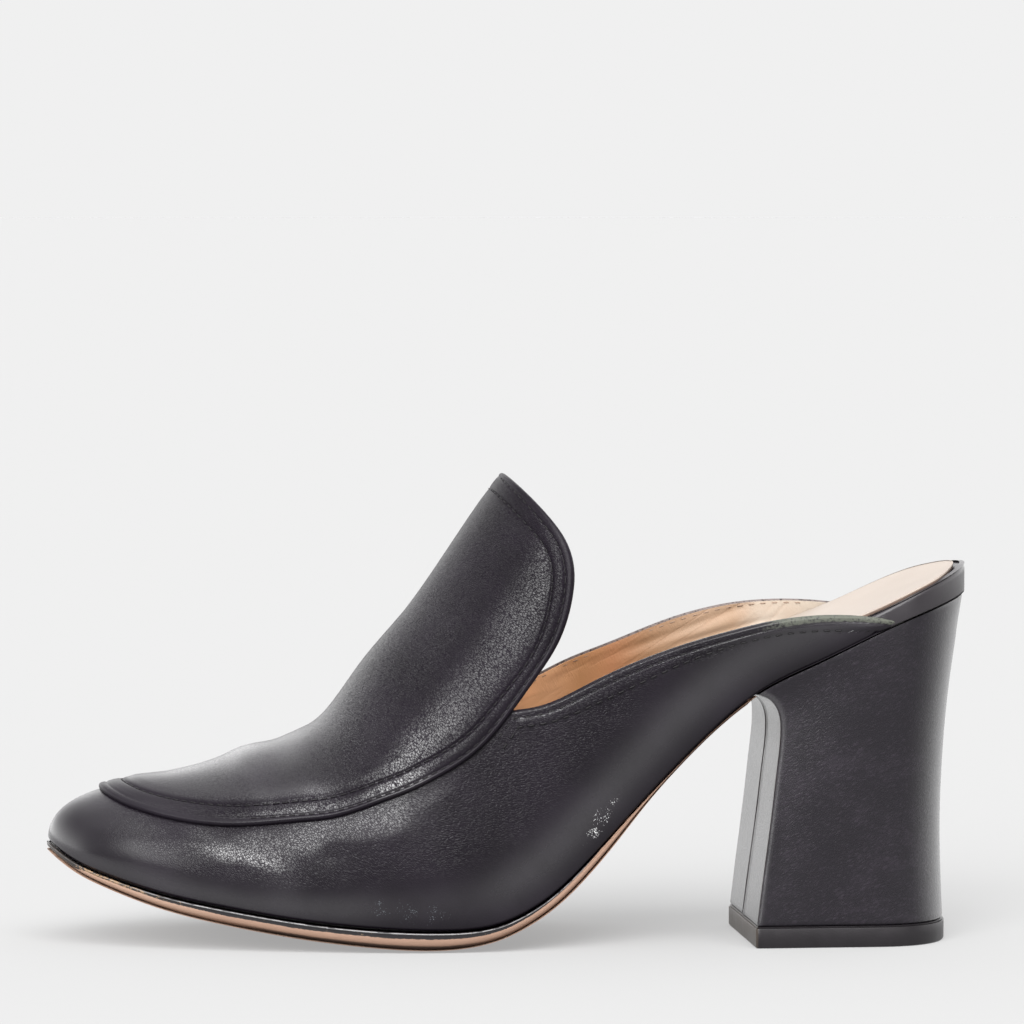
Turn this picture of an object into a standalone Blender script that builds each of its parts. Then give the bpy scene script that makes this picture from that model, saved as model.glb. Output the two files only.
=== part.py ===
"""A block-heel loafer mule in black leather, left foot, EU size 38, empty and standing on its sole.

Frame: metres, +Z up, the floor at z = 0. The origin lies on the heel cap's underside, midway between its sides
and 23 mm behind its front edge. The toe points along -X, the back of the heel along +X, the outer side of the
foot is -Y and the inner side +Y.
Tables and named sizes are in millimetres, and MM turns them into metres when a mesh is made.

The last, the form that the shoe is made on, is one function: last_surface(x, v, side). x is the place along
the feather line, where the upper meets the sole, and v runs up the section from the feather line at 0 to the
ridge over the foot at 1. Each section is a cubic curve. Behind the toe the sections lean forward as they rise,
and at the toe they fan out round one point of the ridge. Every piece of the shoe is cut from this function.
"""

import bpy
import numpy as np

MM = 0.001
GAP = 0.3              # between two pieces that touch
OUTER, INNER = -1, 1   # the sides of the foot

# ---------------------------------------------------------------- driving sizes
TOE_TIP = -198.6       # x of the feather line's foremost point
SEAT_BACK = 33.2       # x of its rearmost point
WING_END = 14.0        # x where the upper's wings run out on the heel seat
BREAST = -22.8         # x of the heel's front edge, under the seat
WALL = 1.8             # upper leather with its lining
WING_SKIVE = (-5.0, WING_END, 0.7)   # the wings thin out from the first x to the second, to this thickness
APRON_THICK = 1.1
APRON_LAP = 0.012      # share of the apron's half width by which it laps over the upper's edge
SOCK_THICK = 1.0
SOCK_INSET = 0.9       # from the insole board's edge
SOCK_WIDENS = (2.0, 24.0)   # between these x the sock leaves the shelter of the wings
BOARD_LIFT = 0.1       # of the board's underside over the last's
CAP_HEIGHT = 5.3
STATION_STEP = 6.3     # along the feather line, between two sections of the meshes

# Feather line from above: x, y of the outer side, y of the inner side.
OUTLINE = (
    (TOE_TIP, 15.0, 15.0),
    (-193.0, 1.6, 27.0),
    (-185.0, -4.4, 33.2),
    (-175.0, -9.0, 39.2),
    (-160.0, -14.2, 45.0),
    (-140.0, -19.5, 49.2),
    (-120.0, -23.4, 50.2),
    (-100.0, -25.3, 47.4),
    (-80.0, -24.6, 41.2),
    (-60.0, -22.5, 34.2),
    (-40.0, -22.2, 29.4),
    (BREAST, -24.6, 27.6),
    (-8.0, -27.5, 28.2),
    (8.0, -28.2, 28.2),
    (22.0, -22.8, 22.8),
    (30.0, -13.0, 13.0),
    (SEAT_BACK, 0.0, 0.0),
)

# Feather line from the side: x, height. Toe spring, flat ball, shank and heel seat.
BOTTOM = (
    (TOE_TIP, 24.8),
    (-193.0, 21.2),
    (-185.0, 17.9),
    (-172.0, 13.9),
    (-155.0, 10.4),
    (-135.0, 7.3),
    (-118.0, 5.7),
    (-103.0, 5.15),
    (-95.0, 5.4),
    (-88.0, 6.6),
    (-81.0, 9.5),
    (-74.0, 14.0),
    (-66.0, 21.3),
    (-55.0, 33.0),
    (-40.0, 48.6),
    (BREAST, 63.8),
    (-8.0, 71.6),
    (8.0, 79.4),
    (22.0, 84.7),
    (SEAT_BACK, 88.1),
)
ARCH_X, ARCH_LENGTH, ARCH_LIFT = -52.0, 20.0, 3.2   # the inner side's feather line rises under the arch

# How far the bottom of the last hangs below its feather line in the middle: x, depth.
CROWN = (
    (TOE_TIP, 0.0),
    (-190.0, 0.7),
    (-160.0, 2.0),
    (-105.0, 2.6),
    (-70.0, 1.6),
    (-40.0, 1.2),
    (5.0, 1.0),
    (15.0, 0.87),
    (22.0, 0.63),
    (28.0, 0.33),
    (SEAT_BACK, 0.0),
)

# Ridge over the foot: x, y, height. Past the tongue's top it only guides the wings.
RIDGE = (
    (-168.0, 14.5, 40.2),
    (-160.0, 14.3, 41.9),
    (-150.0, 14.0, 45.3),
    (-141.0, 13.5, 48.5),
    (-134.0, 13.0, 50.6),
    (-127.0, 12.3, 56.0),
    (-118.0, 11.6, 68.6),
    (-108.0, 10.8, 80.8),
    (-96.0, 9.4, 98.0),
    (-83.8, 7.6, 115.8),
    (-68.0, 5.0, 133.0),
    (-46.0, 2.0, 148.0),
)
POLE = RIDGE[0][0]     # the ridge point that the toe's sections fan round
FAN_END = -170.0       # x of the feather line where the fan ends
PULL = 0.65            # ridge travel for each millimetre of feather line behind the fan
FAN_SOFTNESS = 6.0
TOE_SLOPE = 0.03       # of the ridge at the pole

# Section shape: x, height share of the lower handle, outward flare of the feather line on the outer and inner
# side, share of the half width that the crown stays level on the outer and inner side.
SECTION = (
    (TOE_TIP, 0.55, 1.9, 1.9, 0.74, 0.74),
    (-170.0, 0.50, 5.0, 5.0, 0.70, 0.72),
    (-135.0, 0.50, 7.0, 6.0, 0.80, 0.82),
    (-105.0, 0.50, 8.0, 6.0, 0.90, 0.90),
    (-85.0, 0.48, 8.0, 6.0, 0.95, 0.95),
    (-63.0, 0.46, 8.0, 6.0, 1.00, 1.00),
    (-40.0, 0.45, 8.0, 7.0, 1.10, 1.10),
    (-20.0, 0.45, 5.0, 5.0, 1.10, 1.10),
    (0.0, 0.45, 1.0, 1.0, 1.00, 1.00),
    (WING_END, 0.45, 0.0, 0.0, 1.00, 1.00),
    (SEAT_BACK, 0.45, 0.0, 0.0, 1.00, 1.00),
)

# Edge of the apron and its tongue on the last: x, v on the outer side, v on the inner side. It starts in the
# middle of the toe, reaches the throat's notch, follows the tongue and ends in the middle of the tongue's top.
APRON_EDGE = (
    (TOE_TIP, 0.665, 0.665),
    (-193.0, 0.624, 0.624),
    (-183.4, 0.556, 0.556),
    (-170.0, 0.501, 0.501),
    (-155.0, 0.458, 0.458),
    (-140.0, 0.442, 0.442),
    (-125.0, 0.441, 0.441),
    (-113.8, 0.446, 0.446),
    (-104.7, 0.436, 0.436),
    (-97.0, 0.414, 0.414),
    (-88.0, 0.401, 0.401),
    (-76.0, 0.392, 0.392),
    (-65.8, 0.396, 0.396),
    (-58.0, 0.402, 0.402),
    (-51.5, 0.411, 0.411),
    (-46.3, 0.434, 0.434),
    (-42.2, 0.467, 0.467),
    (-38.9, 0.511, 0.511),
    (-37.0, 0.580, 0.580),
    (-37.1, 0.680, 0.680),
    (-38.0, 0.800, 0.800),
    (-38.6, 0.900, 0.900),
    (-38.8, 1.000, 1.000),
)
NOTCH_ROW = 12         # the row of APRON_EDGE where the wing's topline meets the apron
NOTCH_X = APRON_EDGE[NOTCH_ROW][0]
SPINE_END, SPINE_SOFTNESS = -80.0, 15.0   # the apron's mesh runs in rings round the ridge up to this x

# Top edge of the wings behind the notch: x, v on the outer side, v on the inner side.
WING_TOP = (
    (-60.0, 0.350, 0.346),
    (-50.0, 0.294, 0.289),
    (-40.0, 0.246, 0.240),
    (-30.0, 0.196, 0.202),
    (-20.0, 0.155, 0.170),
    (-10.0, 0.128, 0.140),
    (0.0, 0.090, 0.094),
    (7.0, 0.050, 0.050),
    (WING_END, 0.0, 0.0),
)

# Insole board: x, thickness.
BOARD = ((TOE_TIP, 2.0), (-150.0, 2.2), (-100.0, 2.6), (-60.0, 4.2), (-35.0, 6.0), (-13.0, 7.2), (5.0, 5.4),
         (20.0, 5.9), (SEAT_BACK, 7.2))
BOARD_CLEARANCE = 0.6      # inside the upper's wall, up to the end of the wings
SEAT_STEP = 0.5            # length of the step where the board widens behind the wings

# Outsole: x, thickness, share of it left at the edges, how far its edge stands out from the feather line.
SOLE = (
    (TOE_TIP, 1.6, 1.0, 0.3),
    (-190.0, 2.1, 1.0, 0.6),
    (-175.0, 2.7, 1.0, 1.0),
    (-150.0, 3.0, 1.0, 1.1),
    (-120.0, 3.2, 1.0, 1.0),
    (-100.0, 3.2, 1.0, 0.8),
    (-80.0, 2.6, 1.0, 0.5),
    (-66.0, 2.3, 0.95, 0.0),
    (-58.0, 2.2, 0.75, -0.4),
    (-50.0, 2.1, 0.40, -0.9),
    (-42.0, 2.1, 0.22, -1.3),
    (BREAST, 2.1, 0.20, -1.8),
)

# Heel block: level from the cap at 0 to the seat at 1, x of the breast, x of the back.
HEEL = (
    (0.00, -23.0, 27.5),
    (0.15, -21.9, 27.0),
    (0.30, -20.7, 26.8),
    (0.50, -19.1, 27.4),
    (0.65, -18.0, 28.4),
    (0.80, -17.1, 30.0),
    (0.87, -17.5, 30.9),
    (0.92, -18.7, 31.5),
    (0.96, -20.4, 32.1),
    (1.00, BREAST, 32.7),
)
HEEL_HALF_WIDTH = 24.8     # of the heel's foot
HEEL_STRAIGHT = 0.60       # share of the heel's length with straight sides at its foot
HEEL_CORNER = 2.3          # exponent of the round back: 2 is an ellipse, more is squarer
SEAT_SHARE = 0.985         # of the seat's width that the heel's top takes
CAP_GROWTH = 1.012         # the cap stands out a little round the heel's foot

# ---------------------------------------------------------------- fineness of the meshes
FRONT_COLUMNS, TONGUE_COLUMNS = 24, 15     # along the apron's edge, to the notch and on round the tongue
RINGS = np.array([0.0, 0.17, 0.34, 0.51, 0.68, 0.84, 1.0])              # from the apron's edge to the ridge
WALL_LEVELS = np.array([0.0, 0.1, 0.22, 0.36, 0.52, 0.68, 0.84, 1.0])   # from the feather line to the apron
BOARD_COLUMNS, SOLE_COLUMNS, SEAT_ROWS = 7, 11, 9
HEEL_ROWS, HEEL_COLUMNS, CAP_COLUMNS = 15, 9, 5


# ---------------------------------------------------------------- curves and the last
def spline(knots, values):
    """Natural cubic spline through the rows, as a function of numpy arrays."""
    knots, values = np.asarray(knots, float), np.asarray(values, float)
    step = np.diff(knots)
    count = len(knots)
    matrix, right = np.eye(count), np.zeros(values.shape)
    for i in range(1, count - 1):
        matrix[i, i - 1:i + 2] = step[i - 1], 2 * (step[i - 1] + step[i]), step[i]
        right[i] = 6 * ((values[i + 1] - values[i]) / step[i] - (values[i] - values[i - 1]) / step[i - 1])
    bend = np.linalg.solve(matrix, right)

    def curve(at):
        at = np.asarray(at, float)
        i = np.clip(np.searchsorted(knots, at) - 1, 0, count - 2)
        h = step[i]
        a = (knots[i + 1] - at) / h
        if values.ndim > 1:
            a, h = a[..., None], h[..., None]
        b = 1 - a
        return a * values[i] + b * values[i + 1] + ((a**3 - a) * bend[i] + (b**3 - b) * bend[i + 1]) * h**2 / 6

    return curve


def column_spline(table):
    """Spline of a table's other columns over its first one."""
    rows = np.array(table, float)
    return spline(rows[:, 0], rows[:, 1:] if rows.shape[1] > 2 else rows[:, 1])


def turn_of(x):
    """Angle from 0 at the toe to pi at the seat's back, which makes both ends of the outline round."""
    return np.arccos(np.clip(1 - 2 * (np.asarray(x, float) - TOE_TIP) / (SEAT_BACK - TOE_TIP), -1, 1))


def closed_outline():
    """y of the feather line over the signed turn, outer side negative, as one closed smooth loop."""
    rows = np.array(OUTLINE)
    turn = turn_of(rows[:, 0])
    knots = np.concatenate([-turn[:0:-1], turn[:-1]])
    values = np.concatenate([rows[:0:-1, 1], rows[:-1, 2]])
    laps = [-2 * np.pi, 0, 2 * np.pi]
    return spline(np.concatenate([knots + lap for lap in laps]), np.tile(values, 3))


edge_y = closed_outline()
bottom_z = column_spline(BOTTOM)
crown_depth = column_spline(CROWN)
ridge_line = column_spline(RIDGE)
section_shape = column_spline(SECTION)
board_thickness = column_spline(BOARD)
sole_shape = column_spline(SOLE)
heel_profile = column_spline(HEEL)


def feather(x, side):
    """Point of the feather line at x on one side."""
    lift = np.where(side == INNER, ARCH_LIFT * np.exp(-((x - ARCH_X) / ARCH_LENGTH)**2), 0)
    return np.stack([x, edge_y(side * turn_of(x)), bottom_z(x) + lift], -1)


def ramp(x, softness):
    """0 below, x above, with a parabola between -softness and softness."""
    return np.where(x < -softness, 0, np.where(x > softness, x, (x + softness)**2 / (4 * softness)))


def last_surface(x, v, side):
    """Point of the last: the section that starts on the feather line at x, at the share v of its way up.

    The section is a cubic curve with four handles: the feather point, a point above it that flares outwards,
    a point level with the ridge and out to the side, and the ridge point."""
    x, v, side = np.broadcast_arrays(np.asarray(x, float), np.asarray(v, float), side)
    foot = feather(x, side)
    reach = ramp(x - FAN_END, FAN_SOFTNESS)
    top_x = POLE + PULL * reach
    top = np.concatenate([top_x[..., None], ridge_line(top_x)], -1)
    fan = x - FAN_END - reach
    rise, flare_outer, flare_inner, level_outer, level_inner = np.moveaxis(section_shape(x), -1, 0)
    flare = np.where(side == OUTER, flare_outer, flare_inner)
    level = np.where(side == OUTER, level_outer, level_inner)
    away = np.stack([fan, foot[..., 1] - top[..., 1], np.zeros_like(x)], -1)
    outwards = away / np.maximum(np.linalg.norm(away, axis=-1, keepdims=True), 1e-9)
    lean = foot[..., 0] - top_x - fan
    low = foot + outwards * flare[..., None]
    low[..., 0] -= rise * lean
    low[..., 2] += rise * (top[..., 2] - foot[..., 2])
    high = top + away * level[..., None]
    high[..., 2] += TOE_SLOPE * fan * level
    v = v[..., None]
    return (1 - v)**3 * foot + 3 * v * (1 - v)**2 * low + 3 * v**2 * (1 - v) * high + v**3 * top


def stations(start, end, step=STATION_STEP):
    """x of evenly spaced places along the outer feather line."""
    x = TOE_TIP + (end - TOE_TIP) * (1 - np.cos(np.linspace(0, np.pi / 2, 800)))
    length = np.concatenate([[0], np.cumsum(np.linalg.norm(np.diff(feather(x, OUTER), axis=0), axis=1))])
    first = np.interp(start, x, length)
    count = max(2, round((length[-1] - first) / step) + 1)
    return np.interp(np.linspace(first, length[-1], count), length, x)


# ---------------------------------------------------------------- meshes
def material(name, colour, roughness, metallic=0.0):
    made = bpy.data.materials.new(name)
    made.use_nodes = True
    shader = made.node_tree.nodes["Principled BSDF"]
    shader.inputs["Base Color"].default_value = (*colour, 1.0)
    shader.inputs["Roughness"].default_value = roughness
    shader.inputs["Metallic"].default_value = metallic
    made.diffuse_color = (*colour, 1.0)
    return made


def grid_faces(rows, columns):
    """Quads of a grid whose points are numbered row by row."""
    r, c = np.meshgrid(np.arange(rows - 1), np.arange(columns - 1), indexing="ij")
    first = (r * columns + c).ravel()
    return np.stack([first, first + 1, first + columns + 1, first + columns], -1)


def weld(points, faces):
    """The numbers of the points to keep once those that coincide are one, and the faces numbered to match."""
    corners = faces.ravel()
    _, first, index = np.unique(np.round(points[corners], 4), axis=0, return_index=True, return_inverse=True)
    faces = index.reshape(faces.shape)
    return corners[first], faces[[len(set(face)) > 2 for face in faces]]


def triangles(faces):
    """Every face as triangles that fan out from its first corner, without the corners that a weld doubled."""
    made = []
    for face in faces:
        corners = [int(face[i]) for i in range(len(face)) if face[i] != face[i - 1]]
        made += [(corners[0], corners[i], corners[i + 1]) for i in range(1, len(corners) - 1)]
    return made


def outward_normals(points, faces):
    """Unit normals of an arched skin, weighted by the faces' areas and turned away from its middle."""
    across = np.cross(points[faces[:, 2]] - points[faces[:, 0]], points[faces[:, 3]] - points[faces[:, 1]])
    normals = np.zeros_like(points)
    for corner in range(4):
        np.add.at(normals, faces[:, corner], across)
    normals /= np.linalg.norm(normals, axis=1, keepdims=True)
    return normals * np.sign((normals * (points - points.mean(axis=0))).sum())


def close_between(over, under, faces):
    """A closed body between two skins that share their faces, joined by a strip along their open edge."""
    skin = triangles(faces)
    edges = {edge for a, b, c in skin for edge in ((a, b), (b, c), (c, a))}
    rims = [(b, a, a + len(over), b + len(over)) for a, b in edges if (b, a) not in edges]
    below = [(c + len(over), b + len(over), a + len(over)) for a, b, c in skin]
    return np.concatenate([over, under]), skin + below + triangles(sorted(rims))


def add_object(name, points, corners, finish):
    """One mesh object from points in millimetres and triangles, which are turned outwards."""
    a, b, c = (points[column] for column in np.transpose(corners))
    if np.einsum("ij,ij->i", a, np.cross(b, c)).sum() < 0:
        corners = [corner[::-1] for corner in corners]
    mesh = bpy.data.meshes.new(name)
    mesh.from_pydata((points * MM).tolist(), [], corners)
    mesh.materials.append(finish)
    mesh.shade_smooth()
    mesh.set_sharp_from_angle(angle=np.radians(40))
    made = bpy.data.objects.new(name, mesh)
    bpy.context.scene.collection.objects.link(made)
    return made


# ---------------------------------------------------------------- upper and apron
def apron_edge(side):
    """(x, v) along the apron's edge as a smooth function of the row number, mirrored past both ends."""
    rows = np.array(APRON_EDGE)[:, [0, 1 if side == OUTER else 2]]
    turn = turn_of(rows[:, 0])
    before = [-turn[1], rows[1, 1]]
    after = [turn[-2], 2 - rows[-2, 1]]
    path = np.vstack([before, np.column_stack([turn, rows[:, 1]]), after])
    return spline(np.arange(-1, len(rows) + 1), path)


def ring_x(row, side):
    turn = np.abs(apron_edge(side)(row)[..., 0])
    return TOE_TIP + (SEAT_BACK - TOE_TIP) * (1 - np.cos(turn)) / 2


def apron_map(row, inward, side):
    """(x, v) at a row of the apron's edge and a share inward from it to the ridge."""
    x = ring_x(row, side)
    v = apron_edge(side)(row)[..., 1]
    spine = x - ramp(x - SPINE_END, SPINE_SOFTNESS)
    return x + (spine - x) * inward, v + (1 - v) * inward


def edge_rows(front_count, tongue_count):
    """Row numbers of the apron's edge, evenly spaced on the last: toe to notch, then notch to tongue top."""
    fine = np.linspace(0, len(APRON_EDGE) - 1, 600)
    path = last_surface(*apron_map(fine, 0.0, OUTER), OUTER)
    length = np.concatenate([[0], np.cumsum(np.linalg.norm(np.diff(path, axis=0), axis=1))])
    notch = np.interp(NOTCH_ROW, fine, length)
    spaced = np.concatenate([np.linspace(0, notch, front_count),
                             np.linspace(notch, length[-1], tongue_count)[1:]])
    rows = np.interp(spaced, length, fine)
    rows[front_count - 1] = NOTCH_ROW
    return rows


def apron_rings(rows, inward):
    """The apron's region of the last, as welded points and faces: rings from its edge to the ridge."""
    skins = []
    for side in (OUTER, INNER):
        x, v = apron_map(rows[None, :], inward[:, None], side)
        skins.append(last_surface(x, np.clip(v, 0, 1), side).reshape(-1, 3))
    faces = grid_faces(len(inward), len(rows))
    points = np.concatenate(skins)
    return points, np.concatenate([faces, faces[:, ::-1] + len(skins[0])])


ROWS = edge_rows(FRONT_COLUMNS, TONGUE_COLUMNS)


def wing_top(side):
    """v of the wing's top edge over x, from the notch back."""
    notch = [np.asarray(value).item() for value in apron_map(NOTCH_ROW, APRON_LAP, side)]
    rows = [notch] + [(row[0], row[1 if side == OUTER else 2]) for row in WING_TOP]
    return column_spline(rows)


def side_wall():
    """The upper below the apron and the wings behind it: columns up from the feather line, toe to wing end."""
    wing_x = stations(NOTCH_X, WING_END)[1:]
    points, faces, total = [], [], 0
    for side in (OUTER, INNER):
        x, top = apron_map(ROWS[:FRONT_COLUMNS], APRON_LAP, side)
        x = np.concatenate([x, wing_x])
        top = np.concatenate([top, wing_top(side)(wing_x)])
        skin = last_surface(x[None, :], WALL_LEVELS[:, None] * top[None, :], side)
        grid = grid_faces(*skin.shape[:2])
        faces.append((grid if side == OUTER else grid[:, ::-1]) + total)
        points.append(skin.reshape(-1, 3))
        total += len(points[-1])
    return np.concatenate(points), np.concatenate(faces)


def wall_thickness(x):
    """Full along the foot, skived thin where the wings run out."""
    start, end, thin = WING_SKIVE
    return np.interp(x, (start, end), (WALL, thin))


def build_upper(finish):
    """One hollow shell: side walls, vamp under the apron, and the tongue's inner layer."""
    wall, wall_faces = side_wall()
    rings, ring_faces = apron_rings(ROWS, np.maximum(RINGS, APRON_LAP))
    points = np.concatenate([wall, rings])
    keep, faces = weld(points, np.concatenate([wall_faces, ring_faces + len(wall)]))
    points = points[keep]
    normals = outward_normals(points, faces)
    under = points - normals * wall_thickness(points[:, 0])[:, None]
    return add_object("upper", *close_between(points, under, faces), finish)


def build_apron(finish):
    """The overlay over the vamp and the outside of the tongue."""
    points, faces = apron_rings(ROWS, RINGS)
    keep, faces = weld(points, faces)
    points = points[keep]
    normals = outward_normals(points, faces)
    over, under = points + normals * (GAP + APRON_THICK), points + normals * GAP
    return add_object("apron", *close_between(over, under, faces), finish)


# ---------------------------------------------------------------- bottom pieces
def bottom_row(x, margin):
    """Both edges of a bottom piece at x, moved out from the feather line by margin in the plane of the floor."""
    nudge = 0.05
    ends = []
    for side in (OUTER, INNER):
        turn = side * turn_of(x)
        here = np.stack([x, edge_y(turn)], -1)
        ahead = np.stack([TOE_TIP + (SEAT_BACK - TOE_TIP) * (1 - np.cos(turn + nudge)) / 2, edge_y(turn + nudge)], -1)
        back = np.stack([TOE_TIP + (SEAT_BACK - TOE_TIP) * (1 - np.cos(turn - nudge)) / 2, edge_y(turn - nudge)], -1)
        along = (ahead - back) / np.linalg.norm(ahead - back, axis=-1, keepdims=True)
        normal = np.stack([-along[..., 1], along[..., 0]], -1)
        ends.append(here + normal * np.asarray(margin)[..., None])
    return ends


def bottom_height(plan):
    """Height of the last's underside at a plan point: level with the feather line at its edges, lower between."""
    x, y = np.clip(plan[..., 0], TOE_TIP, SEAT_BACK), plan[..., 1]
    outer, inner = feather(x, OUTER), feather(x, INNER)
    share = np.clip((y - outer[..., 1]) / np.maximum(inner[..., 1] - outer[..., 1], 1e-6), 0, 1)
    return outer[..., 2] + (inner - outer)[..., 2] * share - 4 * crown_depth(x) * share * (1 - share)


def plate_grid(x, margin, columns):
    """Plan points of a bottom piece, one row across for each x."""
    outer, inner = bottom_row(x, margin)
    return outer[:, None, :] + (inner - outer)[:, None, :] * np.linspace(0, 1, columns)[None, :, None]


def plate(x, margin, columns, under, over):
    """A bottom piece between two heights over the last's underside, each a function of (x, height)."""
    plan = plate_grid(x, margin, columns)
    height = bottom_height(plan)
    skins = [np.concatenate([plan, function(plan[..., 0], height)[..., None]], -1) for function in (over, under)]
    return skins, grid_faces(*plan.shape[:2])


def finish_plate(name, over, under, faces, finish):
    """Welds both skins alike and closes them into one body."""
    over, under = over.reshape(-1, 3), under.reshape(-1, 3)
    keep, faces = weld(over, faces)
    return add_object(name, *close_between(over[keep], under[keep], faces), finish)


def toe_to(end):
    """Stations for the bottom pieces, the same ones as the side wall's as far as they go."""
    front = apron_map(ROWS[:FRONT_COLUMNS], APRON_LAP, OUTER)[0]
    rest = stations(NOTCH_X, WING_END)[1:]
    x = np.concatenate([front, rest])
    return x[x < end]


def seat_stations():
    """Stations of the pieces under the foot, with a step behind the wings and closer rows round the seat's back."""
    back = SEAT_BACK - (SEAT_BACK - WING_END - SEAT_STEP) * (1 - np.sin(np.linspace(0, np.pi / 2, SEAT_ROWS)))
    return np.concatenate([toe_to(WING_END), [WING_END], back])


def smooth_step(share):
    share = np.clip(share, 0, 1)
    return share**2 * (3 - 2 * share)


def build_insole_board(finish):
    """Board under the foot. Behind the wings it widens to the full seat and shows as the seat's band."""
    x = seat_stations()
    margin = np.where(x <= WING_END, -wall_thickness(x) - BOARD_CLEARANCE, 0.0)
    skins, faces = plate(x, margin, BOARD_COLUMNS, lambda x, z: z + BOARD_LIFT, lambda x, z: z + board_thickness(x))
    return finish_plate("insole_board", *skins, faces, finish)


def build_sock(finish):
    """Thin lining sock on the board."""
    x = seat_stations()
    start, end = SOCK_WIDENS
    margin = -SOCK_INSET - (WALL + BOARD_CLEARANCE) * (1 - smooth_step((x - start) / (end - start)))

    def under(x, z):
        return z + board_thickness(x) + GAP

    skins, faces = plate(x, margin, BOARD_COLUMNS, under, lambda x, z: under(x, z) + SOCK_THICK)
    return finish_plate("sock", *skins, faces, finish)


def build_outsole(finish):
    """Leather sole from the toe to the heel's breast, with a flat tread on the floor under the ball."""
    x = np.concatenate([toe_to(BREAST - 4), [BREAST - 0.6]])
    thickness, edge, margin = sole_shape(x).T
    plan = plate_grid(x, margin, SOLE_COLUMNS)
    share = np.linspace(-1, 1, SOLE_COLUMNS)
    depth = thickness[:, None] * (1 - (1 - edge)[:, None] * share**2)
    slope = np.arctan(np.maximum(np.gradient(bottom_z(x), x), 0))[:, None]
    over = np.concatenate([plan, (bottom_height(plan) - GAP)[..., None]], -1)
    under = over + np.stack([depth * np.sin(slope), np.zeros_like(depth), -depth * np.cos(slope)], -1)
    under[..., 2] = np.maximum(under[..., 2], 0)
    return finish_plate("outsole", over, under, grid_faces(*plan.shape[:2]), finish)


def heel_plan(along, share, level):
    """Point of a level section of the heel: along it from breast to back, and across it from -1 to 1."""
    breast, back = heel_profile(level)
    x = breast + along * (back - breast)
    seat_x = BREAST + along * (SEAT_BACK - BREAST)
    seat_outer, seat_inner = edge_y(-turn_of(seat_x)), edge_y(turn_of(seat_x))
    seat_y = (seat_outer + (seat_inner - seat_outer) * (share + 1) / 2) * SEAT_SHARE
    round_part = np.clip((along - HEEL_STRAIGHT) / (1 - HEEL_STRAIGHT), 0, 1)
    foot_y = HEEL_HALF_WIDTH * (1 - round_part**HEEL_CORNER)**(1 / HEEL_CORNER) * share
    return x, foot_y + (seat_y - foot_y) * level


def heel_ring(level, along, share):
    x, y = heel_plan(along, share, level)
    foot_z = CAP_HEIGHT + GAP
    top_z = bottom_height(np.stack([x, y], -1)) - GAP
    return np.stack([x, y, foot_z + (top_z - foot_z) * level], -1)


def heel_grid(columns):
    """Places along and across a level section of the heel, with rows closer together round its back."""
    along = np.sin(np.linspace(0, np.pi / 2, HEEL_ROWS))
    return np.meshgrid(along, np.linspace(-1, 1, columns), indexing="ij")


def build_heel_block(finish):
    """Flared block: a stack of D-shaped level sections between the cap and the sloping seat."""
    along, share = heel_grid(HEEL_COLUMNS)
    layers = [heel_ring(row[0], along, share).reshape(-1, 3) for row in HEEL]
    index = np.arange(along.size).reshape(along.shape)
    loop = np.concatenate([index[0], index[1:, -1], index[-2:0:-1, 0]])
    ahead = np.roll(loop, -1)
    foot = grid_faces(*along.shape)
    seat = foot[:, ::-1] + along.size * (len(layers) - 1)
    side = np.stack([ahead, loop, loop + along.size, ahead + along.size], -1)
    sides = [side + along.size * layer for layer in range(len(layers) - 1)]
    points = np.concatenate(layers)
    keep, faces = weld(points, np.concatenate([foot, seat, *sides]))
    return add_object("heel_block", points[keep], triangles(faces), finish)


def build_heel_cap(finish):
    """Rubber top piece under the block, its underside flat on the floor."""
    along, share = heel_grid(CAP_COLUMNS)
    x, y = heel_plan(along, share, 0.0)
    middle = (x.min() + x.max()) / 2
    over = np.stack([middle + (x - middle) * CAP_GROWTH, y * CAP_GROWTH, np.full_like(x, CAP_HEIGHT)], -1)
    return finish_plate("heel_cap", over, over * [1, 1, 0], grid_faces(*along.shape), finish)


def main():
    for old in list(bpy.data.objects):
        bpy.data.objects.remove(old, do_unlink=True)
    black_leather = material("black_leather", (0.018, 0.017, 0.018), 0.42)
    tan_leather = material("tan_sole_leather", (0.62, 0.42, 0.27), 0.55)
    nude_leather = material("nude_sock_leather", (0.78, 0.62, 0.48), 0.50)
    black_rubber = material("black_rubber", (0.02, 0.02, 0.022), 0.60)
    build_upper(black_leather)
    build_apron(black_leather)
    build_insole_board(black_leather)
    build_sock(nude_leather)
    build_outsole(tan_leather)
    build_heel_block(black_leather)
    build_heel_cap(black_rubber)


main()
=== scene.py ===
# %% [markdown]
# # A block-heel loafer mule in black leather
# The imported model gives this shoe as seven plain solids. This file dresses it: leather with grain and
# creases, a raised apron with its seams, a tan lining, a nude sock, an inked sole edge and a covered
# heel. Sizes are in millimetres in the shoe's own frame, and are turned into metres when a mesh is made.
# The toe points along -X, the outer side of the foot is -Y, and the floor is at z = 0.

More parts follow.
